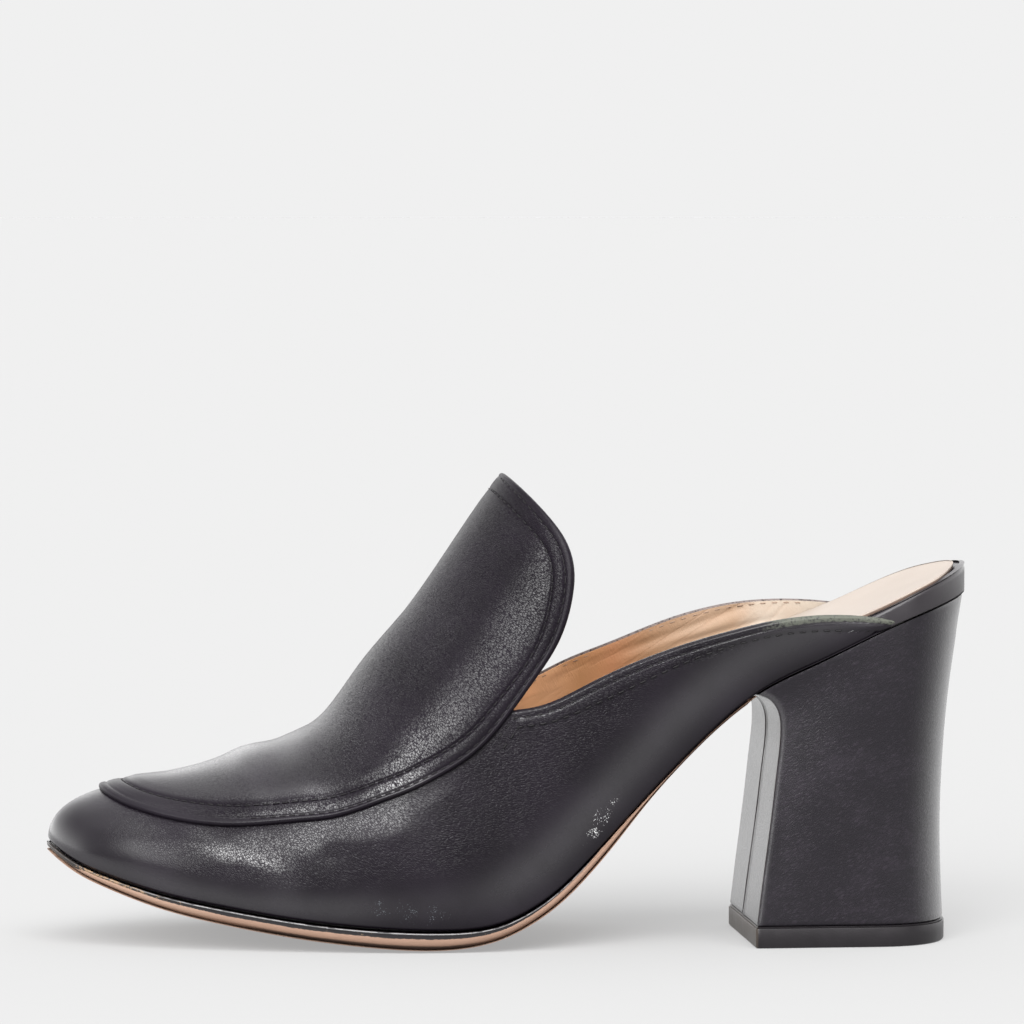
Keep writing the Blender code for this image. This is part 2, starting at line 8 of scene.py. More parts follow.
import bpy
import numpy as np
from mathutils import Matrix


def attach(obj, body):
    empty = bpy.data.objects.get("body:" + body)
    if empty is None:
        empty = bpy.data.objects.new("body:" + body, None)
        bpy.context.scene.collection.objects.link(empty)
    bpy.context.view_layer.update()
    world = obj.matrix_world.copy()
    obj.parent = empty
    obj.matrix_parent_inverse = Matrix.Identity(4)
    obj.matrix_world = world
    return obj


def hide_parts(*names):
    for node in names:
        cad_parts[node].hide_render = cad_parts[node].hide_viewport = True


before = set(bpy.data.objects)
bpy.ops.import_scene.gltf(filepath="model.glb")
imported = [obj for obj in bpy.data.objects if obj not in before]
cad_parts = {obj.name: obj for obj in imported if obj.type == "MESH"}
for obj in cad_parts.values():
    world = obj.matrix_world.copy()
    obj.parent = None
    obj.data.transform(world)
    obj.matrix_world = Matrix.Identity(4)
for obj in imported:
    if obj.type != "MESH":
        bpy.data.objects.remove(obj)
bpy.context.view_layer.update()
MM = 0.001

# %% [markdown]
# ## Camera
# A product picture is taken from far away with a long lens, so that the shoe keeps its true proportions.
# The camera stands 1.5 m from the shoe's outer side, a little above the floor, and looks slightly down
# and to the right. It could be aimed by a Track To constraint, but two angles in degrees are easier to
# read and to change by a little.

# %% Camera
CAMERA_PLACE = (-0.2397, -1.5025, 0.18932)     # metres
CAMERA_TURN = 5.99      # degrees from +Y towards +X
CAMERA_TILT = 3.07      # degrees down
SENSOR = 36.0
LENS = 210.94

lens = bpy.data.cameras.new("camera")
lens.lens, lens.sensor_width = LENS, SENSOR
lens.clip_end = 100
camera = bpy.data.objects.new("camera", lens)
camera.location = CAMERA_PLACE
camera.rotation_euler = np.radians((90 - CAMERA_TILT, 0, -CAMERA_TURN))
bpy.context.scene.collection.objects.link(camera)
bpy.context.scene.camera = camera
bpy.context.scene.view_settings.view_transform = "Standard"
print("camera looks", CAMERA_TILT, "degrees down through a", LENS, "mm lens")

# %% [markdown]
# ## Shader maths
# A material is a graph of nodes. Linking them one by one takes a line for each, so the graph is written
# as Python expressions instead: a `Socket` wraps one output, and each operator on it adds a Math node.
# Every other node comes from `Finish.node`, which takes the node's type, its settings, and the values or
# links of its inputs.

# %% Sockets that can be added and multiplied
class Socket:
    def __init__(self, finish, output):
        self.finish, self.output = finish, output

    def math(self, operation, *others, clamp=False):
        values = dict(enumerate((self, *others)))
        return self.finish.node("ShaderNodeMath", {"operation": operation, "use_clamp": clamp}, values)

    def reflected(self, operation, first):
        return self.finish.node("ShaderNodeMath", {"operation": operation}, {0: first, 1: self})

    def __add__(self, other):
        return self.math("ADD", other)

    def __sub__(self, other):
        return self.math("SUBTRACT", other)

    def __mul__(self, other):
        return self.math("MULTIPLY", other)

    def __truediv__(self, other):
        return self.math("DIVIDE", other)

    def __radd__(self, other):
        return self.reflected("ADD", other)

    def __rsub__(self, other):
        return self.reflected("SUBTRACT", other)

    def __rmul__(self, other):
        return self.reflected("MULTIPLY", other)

    def __rtruediv__(self, other):
        return self.reflected("DIVIDE", other)

    def clamp(self):
        return self.math("ADD", 0.0, clamp=True)

    def step(self, low, high):
        """Smooth step: 0 where this value is under low, 1 over high."""
        return self.finish.node("ShaderNodeMapRange", {"interpolation_type": "SMOOTHSTEP", "clamp": True},
                                {"Value": self, "From Min": low, "From Max": high})


# %% Nodes of a material or a sky
class Finish:
    """A node tree with one method for every kind of node, and short names for the ones used most."""

    def __init__(self, tree):
        self.tree = tree

    def node(self, kind, settings=None, values=None, output=0):
        made = self.tree.nodes.new(kind)
        for name, value in (settings or {}).items():
            if name == "stops":
                ramp = made.color_ramp
                while len(ramp.elements) < len(value):
                    ramp.elements.new(0.5)
                for element, (place, colour) in zip(ramp.elements, value):
                    element.position, element.color = place, colour
            else:
                setattr(made, name, value)
        for name, value in (values or {}).items():
            if isinstance(value, Socket):
                self.tree.links.new(value.output, made.inputs[name])
            else:
                made.inputs[name].default_value = value
        return Socket(self, made.outputs[output])

    def place(self, name="Object"):
        return self.node("ShaderNodeTexCoord", output=name)

    def split(self, vector):
        return [self.node("ShaderNodeSeparateXYZ", values={0: vector}, output=axis) for axis in range(3)]

    def noise(self, vector, scale, detail=2.0, roughness=0.5, distortion=0.0):
        return self.node("ShaderNodeTexNoise", values={
            "Vector": vector, "Scale": scale, "Detail": detail, "Roughness": roughness,
            "Distortion": distortion})

    def cells(self, vector, scale):
        """Distance from the nearest edge between random cells."""
        return self.node("ShaderNodeTexVoronoi", {"feature": "DISTANCE_TO_EDGE"},
                         {"Vector": vector, "Scale": scale}, "Distance")

    def disturbed(self, scale, reach):
        """Object coordinates, moved by a noise of this scale by up to reach metres along each axis."""
        jitter = self.node("ShaderNodeTexNoise", values={"Vector": self.place(), "Scale": scale},
                           output="Color")
        return self.node("ShaderNodeVectorMath", {"operation": "MULTIPLY_ADD"},
                         {0: jitter, 1: (reach, reach, reach), 2: self.place()})

    def relief(self, height):
        """A bump at its real depth, from a height in metres."""
        return self.node("ShaderNodeBump", values={"Strength": 1.0, "Distance": 1.0, "Height": height})

    def mix(self, share, first, second):
        """Colour mix: first where share is 0, second where it is 1."""
        return self.node("ShaderNodeMix", {"data_type": "RGBA"}, {0: share, 6: first, 7: second}, 2)

    def stretched(self, vector, size, turn=0.0):
        """The vector turned about the Y axis and then divided by a size in metres along each axis."""
        return self.node("ShaderNodeMapping", {"vector_type": "TEXTURE"},
                         {"Vector": vector, "Scale": size, "Rotation": (0, turn, 0)})

    def spot(self, centre, radius):
        """1 at a place in the shoe's frame, in mm, falling softly to 0 at its radius."""
        centre = tuple(value * MM for value in centre)
        away = self.node("ShaderNodeVectorMath", {"operation": "DISTANCE"}, {0: self.place(), 1: centre},
                         "Value")
        return 1 - away.step(0.0, radius * MM)

    def attribute(self, name):
        return self.node("ShaderNodeAttribute", {"attribute_name": name}, output="Fac")


# %% Colours and materials
def colour(red, green, blue):
    return (red, green, blue, 1.0)


def material(name, roughness, paint, **constants):
    """A Principled material. paint(finish) returns what varies: a dict of socket names to values."""
    made = bpy.data.materials.new(name)
    made.use_nodes = True
    surface = made.node_tree.nodes["Principled BSDF"]
    surface.inputs["Roughness"].default_value = roughness
    for socket, value in constants.items():
        surface.inputs[socket.replace("_", " ")].default_value = value
    finish = Finish(made.node_tree)
    for socket, value in paint(finish).items():
        made.node_tree.links.new(value.output, surface.inputs[socket])
    print("material", name, "with", len(made.node_tree.nodes), "nodes")
    return made


# %% [markdown]
# ## Studio
# Black leather shows mostly what it mirrors, so the light is drawn as a surrounding rather than set up as
# lamps: brightly lit paper behind and beside the shoe, a diffuser overhead, a dark room on the camera's
# side, and four soft lights in it. The strongest stands to the left of the camera, 27 degrees up, and
# makes the highlights on the toe. The same formula paints the sky and, added up over all directions,
# gives the light that falls on the floor. The floor is a light table, a white sheet lit from below too,
# which keeps the shadows pale. Its colour follows from that sum, so the floor and the background have the
# same brightness and meet without an edge.

# %% Brightness of the surroundings in each direction
BACKGROUND = 0.871            # shows as a very light grey
FRONT_LEVEL, TOP_LEVEL, WALL_LEVEL = 0.05, 1.4, 2.1
WALL_ENDS = (0.42, 0.68)      # heights, 0 at the horizon and 1 overhead, between which the walls end
ROOM_ENDS = (0.60, 0.90)      # and between which the dark room does
ROOM_BEGINS = (0.0, 0.5)      # how far round to the camera's side it begins
# Bearing in degrees from +Y towards +X, degrees up, where the light starts to fade, its reach, and its
# level.
SOFT_LIGHTS = (
    (-154.0, 27.0, 5.0, 25.0, 15.0),
    (-125.0, 36.0, 5.0, 38.0, 0.7),
    (174.0, 56.0, 8.0, 34.0, 8.0),
    (148.0, 6.0, 5.0, 28.0, 2.2),
)
WINDOW = (6.0, 0.0, 8.0, 14.0)   # and of the part of the paper that the camera sees, without a level


def soft(value, low, high):
    """Smooth step from 0 at low to 1 at high."""
    share = np.clip((value - low) / (high - low), 0, 1)
    return share**2 * (3 - 2 * share)


def towards(direction, turned, raised, core, reach, step):
    """1 within core degrees of a bearing and a height, falling to 0 at reach degrees from it."""
    east, north, up = direction
    turned, raised, core, reach = np.radians((turned, raised, core, reach))
    facing = (east * float(np.sin(turned) * np.cos(raised)) + north * float(np.cos(turned) * np.cos(raised))
              + up * float(np.sin(raised)))
    return step(facing, float(np.cos(reach)), float(np.cos(core)))


def brightness(direction, step):
    """Radiance from a unit direction (east, north, up), of arrays or sockets; step is their smooth step."""
    _, north, up = direction
    room = WALL_LEVEL + (TOP_LEVEL - WALL_LEVEL) * step(up, *WALL_ENDS)
    room = room + (FRONT_LEVEL - room) * step(0 - north, *ROOM_BEGINS) * (1 - step(up, *ROOM_ENDS))
    room = room + (BACKGROUND - room) * towards(direction, *WINDOW, step)
    for *place, level in SOFT_LIGHTS:
        room = room + towards(direction, *place, step) * level
    return room


RAISED_STEP, TURNED_STEP = np.radians(0.5), np.radians(1.0)
raised, turned = np.meshgrid(np.arange(RAISED_STEP / 2, np.pi / 2, RAISED_STEP),
                             np.arange(0, 2 * np.pi - TURNED_STEP / 2, TURNED_STEP))
dome = np.sin(turned) * np.cos(raised), np.cos(turned) * np.cos(raised), np.sin(raised)
falling = brightness(dome, soft) * np.sin(raised) * np.cos(raised)
received = float(falling.sum() * RAISED_STEP * TURNED_STEP)
TABLE_SHARE = 0.4             # of the floor's brightness that comes from below
floor_colour = np.pi * (1 - TABLE_SHARE) * BACKGROUND / received
print("light on the floor", round(received / np.pi, 3), "floor colour", round(floor_colour, 3))

# %% Sky and floor
world = bpy.data.worlds.new("studio")
bpy.context.scene.world = world
world.use_nodes = True
sky = Finish(world.node_tree)
level = brightness(sky.split(sky.place("Generated")), lambda value, low, high: value.step(low, high))
world.node_tree.links.new(level.output, world.node_tree.nodes["Background"].inputs["Strength"])
world.node_tree.nodes["Background"].inputs["Color"].default_value = colour(1, 1, 1)

FLOOR_SIZE = 40.0
FLOOR_DROP = 0.0001     # keeps the floor just clear of the heel's cap
floor_mesh = bpy.data.meshes.new("floor")
corners = FLOOR_SIZE * np.array([(-1, -1, 0), (1, -1, 0), (1, 1, 0), (-1, 1, 0)]) - (0, 0, FLOOR_DROP)
floor_mesh.from_pydata(corners.tolist(), [], [(0, 1, 2, 3)])
floor = bpy.data.objects.new("floor", floor_mesh)
bpy.context.scene.collection.objects.link(floor)
floor_mesh.materials.append(material(
    "floor_paper", 0.95, lambda finish: {}, Base_Color=colour(floor_colour, floor_colour, floor_colour),
    Specular_IOR_Level=0.0, Emission_Color=colour(1, 1, 1), Emission_Strength=TABLE_SHARE * BACKGROUND))
print("floor of", 2 * FLOOR_SIZE, "m a side")

# %% [markdown]
# ## The last
# A shoe is made on a last, a form of the foot. Sculpting each piece on its own would be quicker at first,
# but pieces that are cut from one form meet exactly. Here the form is one function, `last_surface(x, v,
# side)`: x is the place along the feather line, where the upper meets the sole, and v climbs the section
# from the feather line at 0 to the ridge over the foot at 1. Short tables give the outline, the profile
# and the section shapes, and a cubic spline through each column makes them smooth.

# %% Tables of the last
OUTER, INNER = -1, 1
TOE_TIP, SEAT_BACK = -198.6, 33.2
WING_END, BREAST = 14.0, -22.8
OUTLINE = (             # x, and y of the feather line on the outer and the inner side
    (TOE_TIP, 15.0, 15.0), (-193.0, 1.6, 27.0), (-185.0, -4.4, 33.2), (-175.0, -9.0, 39.2),
    (-160.0, -14.2, 45.0), (-140.0, -19.5, 49.2), (-120.0, -23.4, 50.2), (-100.0, -25.3, 47.4),
    (-80.0, -24.6, 41.2), (-60.0, -22.5, 34.2), (-40.0, -22.2, 29.4), (BREAST, -24.6, 27.6),
    (-8.0, -27.5, 28.2), (8.0, -28.2, 28.2), (22.0, -22.8, 22.8), (30.0, -13.0, 13.0),
    (SEAT_BACK, 0.0, 0.0),
)
BOTTOM = (              # x, and the feather line's height
    (TOE_TIP, 24.8), (-193.0, 21.2), (-185.0, 17.9), (-172.0, 13.9), (-155.0, 10.4), (-135.0, 7.3),
    (-118.0, 5.7), (-103.0, 5.15), (-95.0, 5.4), (-88.0, 6.6), (-81.0, 9.5), (-74.0, 14.0), (-66.0, 21.3),
    (-55.0, 33.0), (-40.0, 48.6), (BREAST, 63.8), (-8.0, 71.6), (8.0, 79.4), (22.0, 84.7),
    (SEAT_BACK, 88.1),
)
ARCH_X, ARCH_LENGTH, ARCH_LIFT = -52.0, 20.0, 3.2       # on the inner side the line is higher here
CROWN = (               # x, and how far the last's underside bulges down in the middle
    (TOE_TIP, 0.0), (-190.0, 0.7), (-160.0, 2.0), (-105.0, 2.6), (-70.0, 1.6), (-40.0, 1.2), (5.0, 1.0),
    (15.0, 0.87), (22.0, 0.63), (28.0, 0.33), (SEAT_BACK, 0.0),
)
RIDGE = (               # x, y and z of the ridge over the foot
    (-168.0, 14.5, 40.2), (-160.0, 14.3, 41.9), (-150.0, 14.0, 45.3), (-141.0, 13.5, 48.5),
    (-134.0, 13.0, 50.6), (-127.0, 12.3, 56.0), (-118.0, 11.6, 68.6), (-108.0, 10.8, 80.8),
    (-96.0, 9.4, 98.0), (-83.8, 7.6, 115.8), (-68.0, 5.0, 133.0), (-46.0, 2.0, 148.0),
)
# Sections ahead of FAN_END all run to the pole. Behind it, each one's ridge point is PULL times as far
# from the pole as its foot is from FAN_END, with a soft change over FAN_SOFTNESS mm either way. TOE_SLOPE
# lowers the upper handles in the fan.
POLE, FAN_END, PULL, FAN_SOFTNESS, TOE_SLOPE = RIDGE[0][0], -170.0, 0.65, 6.0, 0.03
# x, the share of the height at which the lower handle sits, how far it flares out on the outer and the
# inner side, and the share of the width at which the upper handle sits on each.
SECTION = (
    (TOE_TIP, 0.55, 1.9, 1.9, 0.74, 0.74), (-170.0, 0.50, 5.0, 5.0, 0.70, 0.72),
    (-135.0, 0.50, 7.0, 6.0, 0.80, 0.82), (-105.0, 0.50, 8.0, 6.0, 0.90, 0.90),
    (-85.0, 0.48, 8.0, 6.0, 0.95, 0.95), (-63.0, 0.46, 8.0, 6.0, 1.00, 1.00),
    (-40.0, 0.45, 8.0, 7.0, 1.10, 1.10), (-20.0, 0.45, 5.0, 5.0, 1.10, 1.10),
    (0.0, 0.45, 1.0, 1.0, 1.00, 1.00), (WING_END, 0.45, 0.0, 0.0, 1.00, 1.00),
    (SEAT_BACK, 0.45, 0.0, 0.0, 1.00, 1.00),
)
APRON_EDGE = (          # x and v of the apron's edge, from the toe to the top of the tongue
    (TOE_TIP, 0.665), (-193.0, 0.624), (-183.4, 0.556), (-170.0, 0.501), (-155.0, 0.458), (-140.0, 0.442),
    (-125.0, 0.441), (-113.8, 0.446), (-104.7, 0.436), (-97.0, 0.414), (-88.0, 0.401), (-76.0, 0.392),
    (-65.8, 0.396), (-58.0, 0.402), (-51.5, 0.411), (-46.3, 0.434), (-42.2, 0.467), (-38.9, 0.511),
    (-37.0, 0.580), (-37.1, 0.680), (-38.0, 0.800), (-38.6, 0.900), (-38.8, 1.000),
)
NOTCH_ROW = 12          # where the wing's top edge meets it
NOTCH_X = APRON_EDGE[NOTCH_ROW][0]
SPINE_END, SPINE_SOFTNESS = -80.0, 15.0         # the apron's columns behind this run to the ridge here
WING_TOP = (            # x, and v of the wing's top edge on the outer and the inner side
    (-60.0, 0.350, 0.346), (-50.0, 0.294, 0.289), (-40.0, 0.246, 0.240), (-30.0, 0.196, 0.202),
    (-20.0, 0.155, 0.170), (-10.0, 0.128, 0.140), (0.0, 0.090, 0.094), (7.0, 0.050, 0.050),
    (WING_END, 0.0, 0.0),
)


# %% Splines through tables
def spline(knots, values):
    """Natural cubic spline: the bends at the knots solve one linear system, and each piece is a cubic."""
    knots, values = np.asarray(knots, float), np.asarray(values, float)
    step, count = np.diff(knots), len(knots)
    matrix, right = np.eye(count), np.zeros(values.shape)
    for i in range(1, count - 1):
        matrix[i, i - 1:i + 2] = step[i - 1], 2 * (step[i - 1] + step[i]), step[i]
        right[i] = 6 * ((values[i + 1] - values[i]) / step[i] - (values[i] - values[i - 1]) / step[i - 1])
    bend = np.linalg.solve(matrix, right)

    def curve(at):
        at = np.asarray(at, float)
        i = np.clip(np.searchsorted(knots, at) - 1, 0, count - 2)
        h = step[i]
        a = (knots[i + 1] - at) / h
        if values.ndim > 1:
            a, h = a[..., None], h[..., None]
        b = 1 - a
        curved = (a**3 - a) * bend[i] + (b**3 - b) * bend[i + 1]
        return a * values[i] + b * values[i + 1] + curved * h**2 / 6

    return curve


def columns(table):
    """Spline through the columns of a table, over its first column."""
    rows = np.array(table, float)
    return spline(rows[:, 0], rows[:, 1:] if rows.shape[1] > 2 else rows[:, 1])


# %% The feather line
def turn_of(x):
    """Angle from 0 at the toe to pi at the seat's back."""
    return np.arccos(np.clip(1 - 2 * (np.asarray(x, float) - TOE_TIP) / (SEAT_BACK - TOE_TIP), -1, 1))


def x_of(turn):
    """The x at such an angle."""
    return TOE_TIP + (SEAT_BACK - TOE_TIP) * (1 - np.cos(turn)) / 2


def closed_outline():
    """y of the feather line, as one closed spline over the angle: from -pi at the seat's back along the
    outer side to 0 at the toe, and on along the inner side to pi."""
    rows = np.array(OUTLINE)
    turn = turn_of(rows[:, 0])
    knots = np.concatenate([-turn[:0:-1], turn[:-1]])
    values = np.concatenate([rows[:0:-1, 1], rows[:-1, 2]])
    return spline(np.concatenate([knots + lap for lap in (-2 * np.pi, 0, 2 * np.pi)]), np.tile(values, 3))


edge_y, bottom_z = closed_outline(), columns(BOTTOM)


def feather(x, side):
    """Points of the feather line: x, the outline's y and the bottom's height, with a bell-shaped lift under
    the inner arch."""
    lift = np.where(side == INNER, ARCH_LIFT * np.exp(-((x - ARCH_X) / ARCH_LENGTH)**2), 0)
    return np.stack([x, edge_y(side * turn_of(x)), bottom_z(x) + lift], -1)


# %% The last's surface
crown_depth, ridge_line, section_shape = columns(CROWN), columns(RIDGE), columns(SECTION)


def ramp(x, softness):
    """0 under -softness, x itself over softness, and a parabola from one to the other."""
    return np.where(x < -softness, 0, np.where(x > softness, x, (x + softness)**2 / (4 * softness)))


def last_surface(x, v, side):
    """A cubic curve with four handles: the feather point, a point above it that flares outwards, a point
    level with the ridge and out to the side, and the ridge point. At the toe the sections fan out round the
    pole."""
    x, v, side = np.broadcast_arrays(np.asarray(x, float), np.asarray(v, float), side)
    foot = feather(x, side)
    reach = ramp(x - FAN_END, FAN_SOFTNESS)
    top_x = POLE + PULL * reach
    top = np.concatenate([top_x[..., None], ridge_line(top_x)], -1)
    fan = x - FAN_END - reach
    rise, flare_outer, flare_inner, level_outer, level_inner = np.moveaxis(section_shape(x), -1, 0)
    flare = np.where(side == OUTER, flare_outer, flare_inner)
    level = np.where(side == OUTER, level_outer, level_inner)
    away = np.stack([fan, foot[..., 1] - top[..., 1], np.zeros_like(x)], -1)
    outwards = away / np.maximum(np.linalg.norm(away, axis=-1, keepdims=True), 1e-9)
    low = foot + outwards * flare[..., None]
    low[..., 0] -= rise * (foot[..., 0] - top_x - fan)
    low[..., 2] += rise * (top[..., 2] - foot[..., 2])
    high = top + away * level[..., None]
    high[..., 2] += TOE_SLOPE * fan * level
    v = v[..., None]
    return (1 - v)**3 * foot + 3 * v * (1 - v)**2 * low + 3 * v**2 * (1 - v) * high + v**3 * top


print("toe tip", last_surface(TOE_TIP, 0.0, OUTER).round(1))
print("tongue top", last_surface(APRON_EDGE[-1][0], 1.0, OUTER).round(1))

# %% [markdown]
# ## Meshes from arrays
# A piece is a skin: a grid of points and the quads between them. `shell` closes two such skins into a
# body, with a strip along their open edge. A Solidify modifier could thicken a skin too, but here each
# side has its own shape and its own marks. Points that fall together, as at a pole or a seam, are welded
# first, so that the body is closed. All of it is array work, and the result goes into the mesh with
# foreach_set, which is many times faster than adding points one by one.

# %% Grids and skins
def quads_of(rows, count, closed=False):
    """Quads of a grid whose points are numbered row by row. A closed grid joins its last column to its
    first."""
    width = count if closed else count - 1
    r, c = np.meshgrid(np.arange(rows - 1), np.arange(width), indexing="ij")
    here, ahead = r * count + c, r * count + (c + 1) % count
    return np.stack([here, ahead, ahead + count, here + count], -1).reshape(-1, 4)


def weld(points, quads):
    """Numbers of the points to keep, and the quads renumbered, once points that coincide are one."""
    used = np.unique(quads)
    _, first, index = np.unique(np.round(points[used], 3), axis=0, return_index=True, return_inverse=True)
    place = np.zeros(len(points), int)
    place[used] = index.reshape(-1)
    return used[first], place[quads]


def triangles_of(quads):
    """Two triangles for each quad, without those that a weld has closed."""
    made = np.concatenate([quads[:, [0, 1, 2]], quads[:, [0, 2, 3]]])
    a, b, c = made.T
    return made[(a != b) & (b != c) & (c != a)]


def normals_of(points, triangles):
    """Unit normals at the points: the normals of the triangles round each, weighted by their areas."""
    a, b, c = (points[triangles[:, i]] for i in range(3))
    across = np.cross(b - a, c - a)
    total = np.zeros_like(points)
    for corner in range(3):
        np.add.at(total, triangles[:, corner], across)
    return total / np.maximum(np.linalg.norm(total, axis=1, keepdims=True), 1e-12)


def open_edges(triangles):
    """Directed edges that no other triangle runs along the other way."""
    edges = np.concatenate([triangles[:, [0, 1]], triangles[:, [1, 2]], triangles[:, [2, 0]]])
    size = triangles.max() + 1
    return edges[~np.isin(edges[:, 0] * size + edges[:, 1], edges[:, 1] * size + edges[:, 0])]


# %% Objects and shells
def put(name, points, triangles, finish, marks=None, sharp=50.0):
    """One object from points in mm and triangles. marks are named values at the points. Edges that turn by
    less than sharp degrees are smoothed over."""
    a, b, c = (points[triangles[:, i]] for i in range(3))
    # A negative volume means that the triangles face inwards.
    if np.einsum("ij,ij->", a, np.cross(b, c)) < 0:
        triangles = triangles[:, ::-1]
    mesh = bpy.data.meshes.new(name)
    mesh.vertices.add(len(points))
    mesh.vertices.foreach_set("co", (points * MM).astype(np.float32).ravel())
    mesh.loops.add(triangles.size)
    mesh.loops.foreach_set("vertex_index", triangles.astype(np.int32).ravel())
    mesh.polygons.add(len(triangles))
    mesh.polygons.foreach_set("loop_start", np.arange(0, triangles.size, 3, dtype=np.int32))
    mesh.update(calc_edges=True)
    mesh.validate()
    for mark, values in (marks or {}).items():
        mesh.attributes.new(mark, "FLOAT", "POINT").data.foreach_set("value", values.astype(np.float32))
    mesh.shade_smooth()
    mesh.set_sharp_from_angle(angle=np.radians(sharp))
    mesh.materials.append(finish)
    made = bpy.data.objects.new(name, mesh)
    bpy.context.scene.collection.objects.link(made)
    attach(made, "root")
    span = (points.max(0) - points.min(0)).round(1)
    print(f"{name}: {len(triangles)} triangles, {span[0]} x {span[1]} x {span[2]} mm")
    return made


def shell(name, over, under, triangles, finish, marks=None):
    """A closed body between two skins with the same triangles. Each mark is a pair of its values over and
    under."""
    count = len(over)
    rim = open_edges(triangles)
    strip = np.concatenate([np.stack([rim[:, 1], rim[:, 0], rim[:, 0] + count], -1),
                            np.stack([rim[:, 1], rim[:, 0] + count, rim[:, 1] + count], -1)])
    body = np.concatenate([triangles, triangles[:, ::-1] + count, strip])
    marks = {mark: np.concatenate(pair) for mark, pair in (marks or {}).items()}
    return put(name, np.concatenate([over, under]), body, finish, marks)


# %% Lengths, bells and folds
def arc_length(path, axis=0):
    """Distance run along an axis of an array of points."""
    step = np.linalg.norm(np.diff(path, axis=axis), axis=-1)
    start = np.zeros_like(np.take(step, [0], axis=axis))
    return np.concatenate([start, np.cumsum(step, axis=axis)], axis=axis)


def at_lengths(length, values, wanted):
    """values at the wanted lengths down each column. length is an array of (samples, columns)."""
    above = np.clip((length[None] < wanted[:, None]).sum(1), 1, len(length) - 1)
    column = np.arange(length.shape[1])[None]
    low, high = length[above - 1, column], length[above, column]
    share = np.clip((wanted - low) / np.maximum(high - low, 1e-9), 0, 1)
    share = share.reshape(share.shape + (1,) * (values.ndim - 2))
    return values[above - 1, column] * (1 - share) + values[above, column] * share


def bump(distance, width):
    """Soft bell of height 1."""
    return np.exp(-(distance / width)**2)


def folds(points, table):
    """Sum of soft ridges and troughs. Each row is a stroke seen from the side: from (x, z) to (x, z), its
    half width and its height, which fades out towards both ends."""
    total = np.zeros(points.shape[:-1])
    for x0, z0, x1, z1, width, height in table:
        run, rise = x1 - x0, z1 - z0
        length = np.hypot(run, rise)
        along = ((points[..., 0] - x0) * run + (points[..., 2] - z0) * rise) / length**2
        across = ((points[..., 0] - x0) * rise - (points[..., 2] - z0) * run) / length
        total += height * bump(across, width) * bump(np.maximum(np.abs(along - 0.5) - 0.28, 0), 0.22)
    return total


# %% [markdown]
# ## Leather
# Fine calf leather has a grain of small pebbles about half a millimetre across, divided by hair-thin
# creases. Where the foot bends, it also has short fine wrinkles across the bend. An image could carry
# them, or the mesh, but noise needs no file and hardly any points: both are bump, with round cells for
# the pebbles, and cells that are stretched along the wrinkles. The mark `flex` on the mesh says where the
# leather bends. Heights are in metres, so that the bump has its real depth. A thin coat over the leather
# is its wax gloss, and the mark `polish` says how much of it there is.

# %% Grain and crinkles
DEEP_BLACK, SOFT_BLACK = colour(0.00496, 0.00368, 0.00576), colour(0.00806, 0.00598, 0.00936)
EDGE_PAINT, INNER_EDGE_PAINT = colour(0.078, 0.082, 0.068), colour(0.17, 0.145, 0.14)


def fine_grain(finish, size=0.6):
    """0 in the creases of the grain, 1 on its pebbles; size is in mm."""
    pebbles = finish.cells(finish.disturbed(900.0, 0.5 * MM), 1 / (size * MM)).step(0.0, 0.30)
    return pebbles * 0.6 + finish.noise(finish.place(), 3500.0, 2.0, 0.6) * 0.8


def crinkle(finish, turn, length=1.3, width=0.44):
    """0 in fine creases and more on the small ridges between them: cells stretched along lines that are
    turned by turn degrees down towards +X. length and width are the cells' sizes in mm."""
    size = (length * MM, width * MM, width * MM)
    return finish.cells(finish.stretched(finish.disturbed(700.0, 0.8 * MM), size, np.radians(turn)), 1.0)


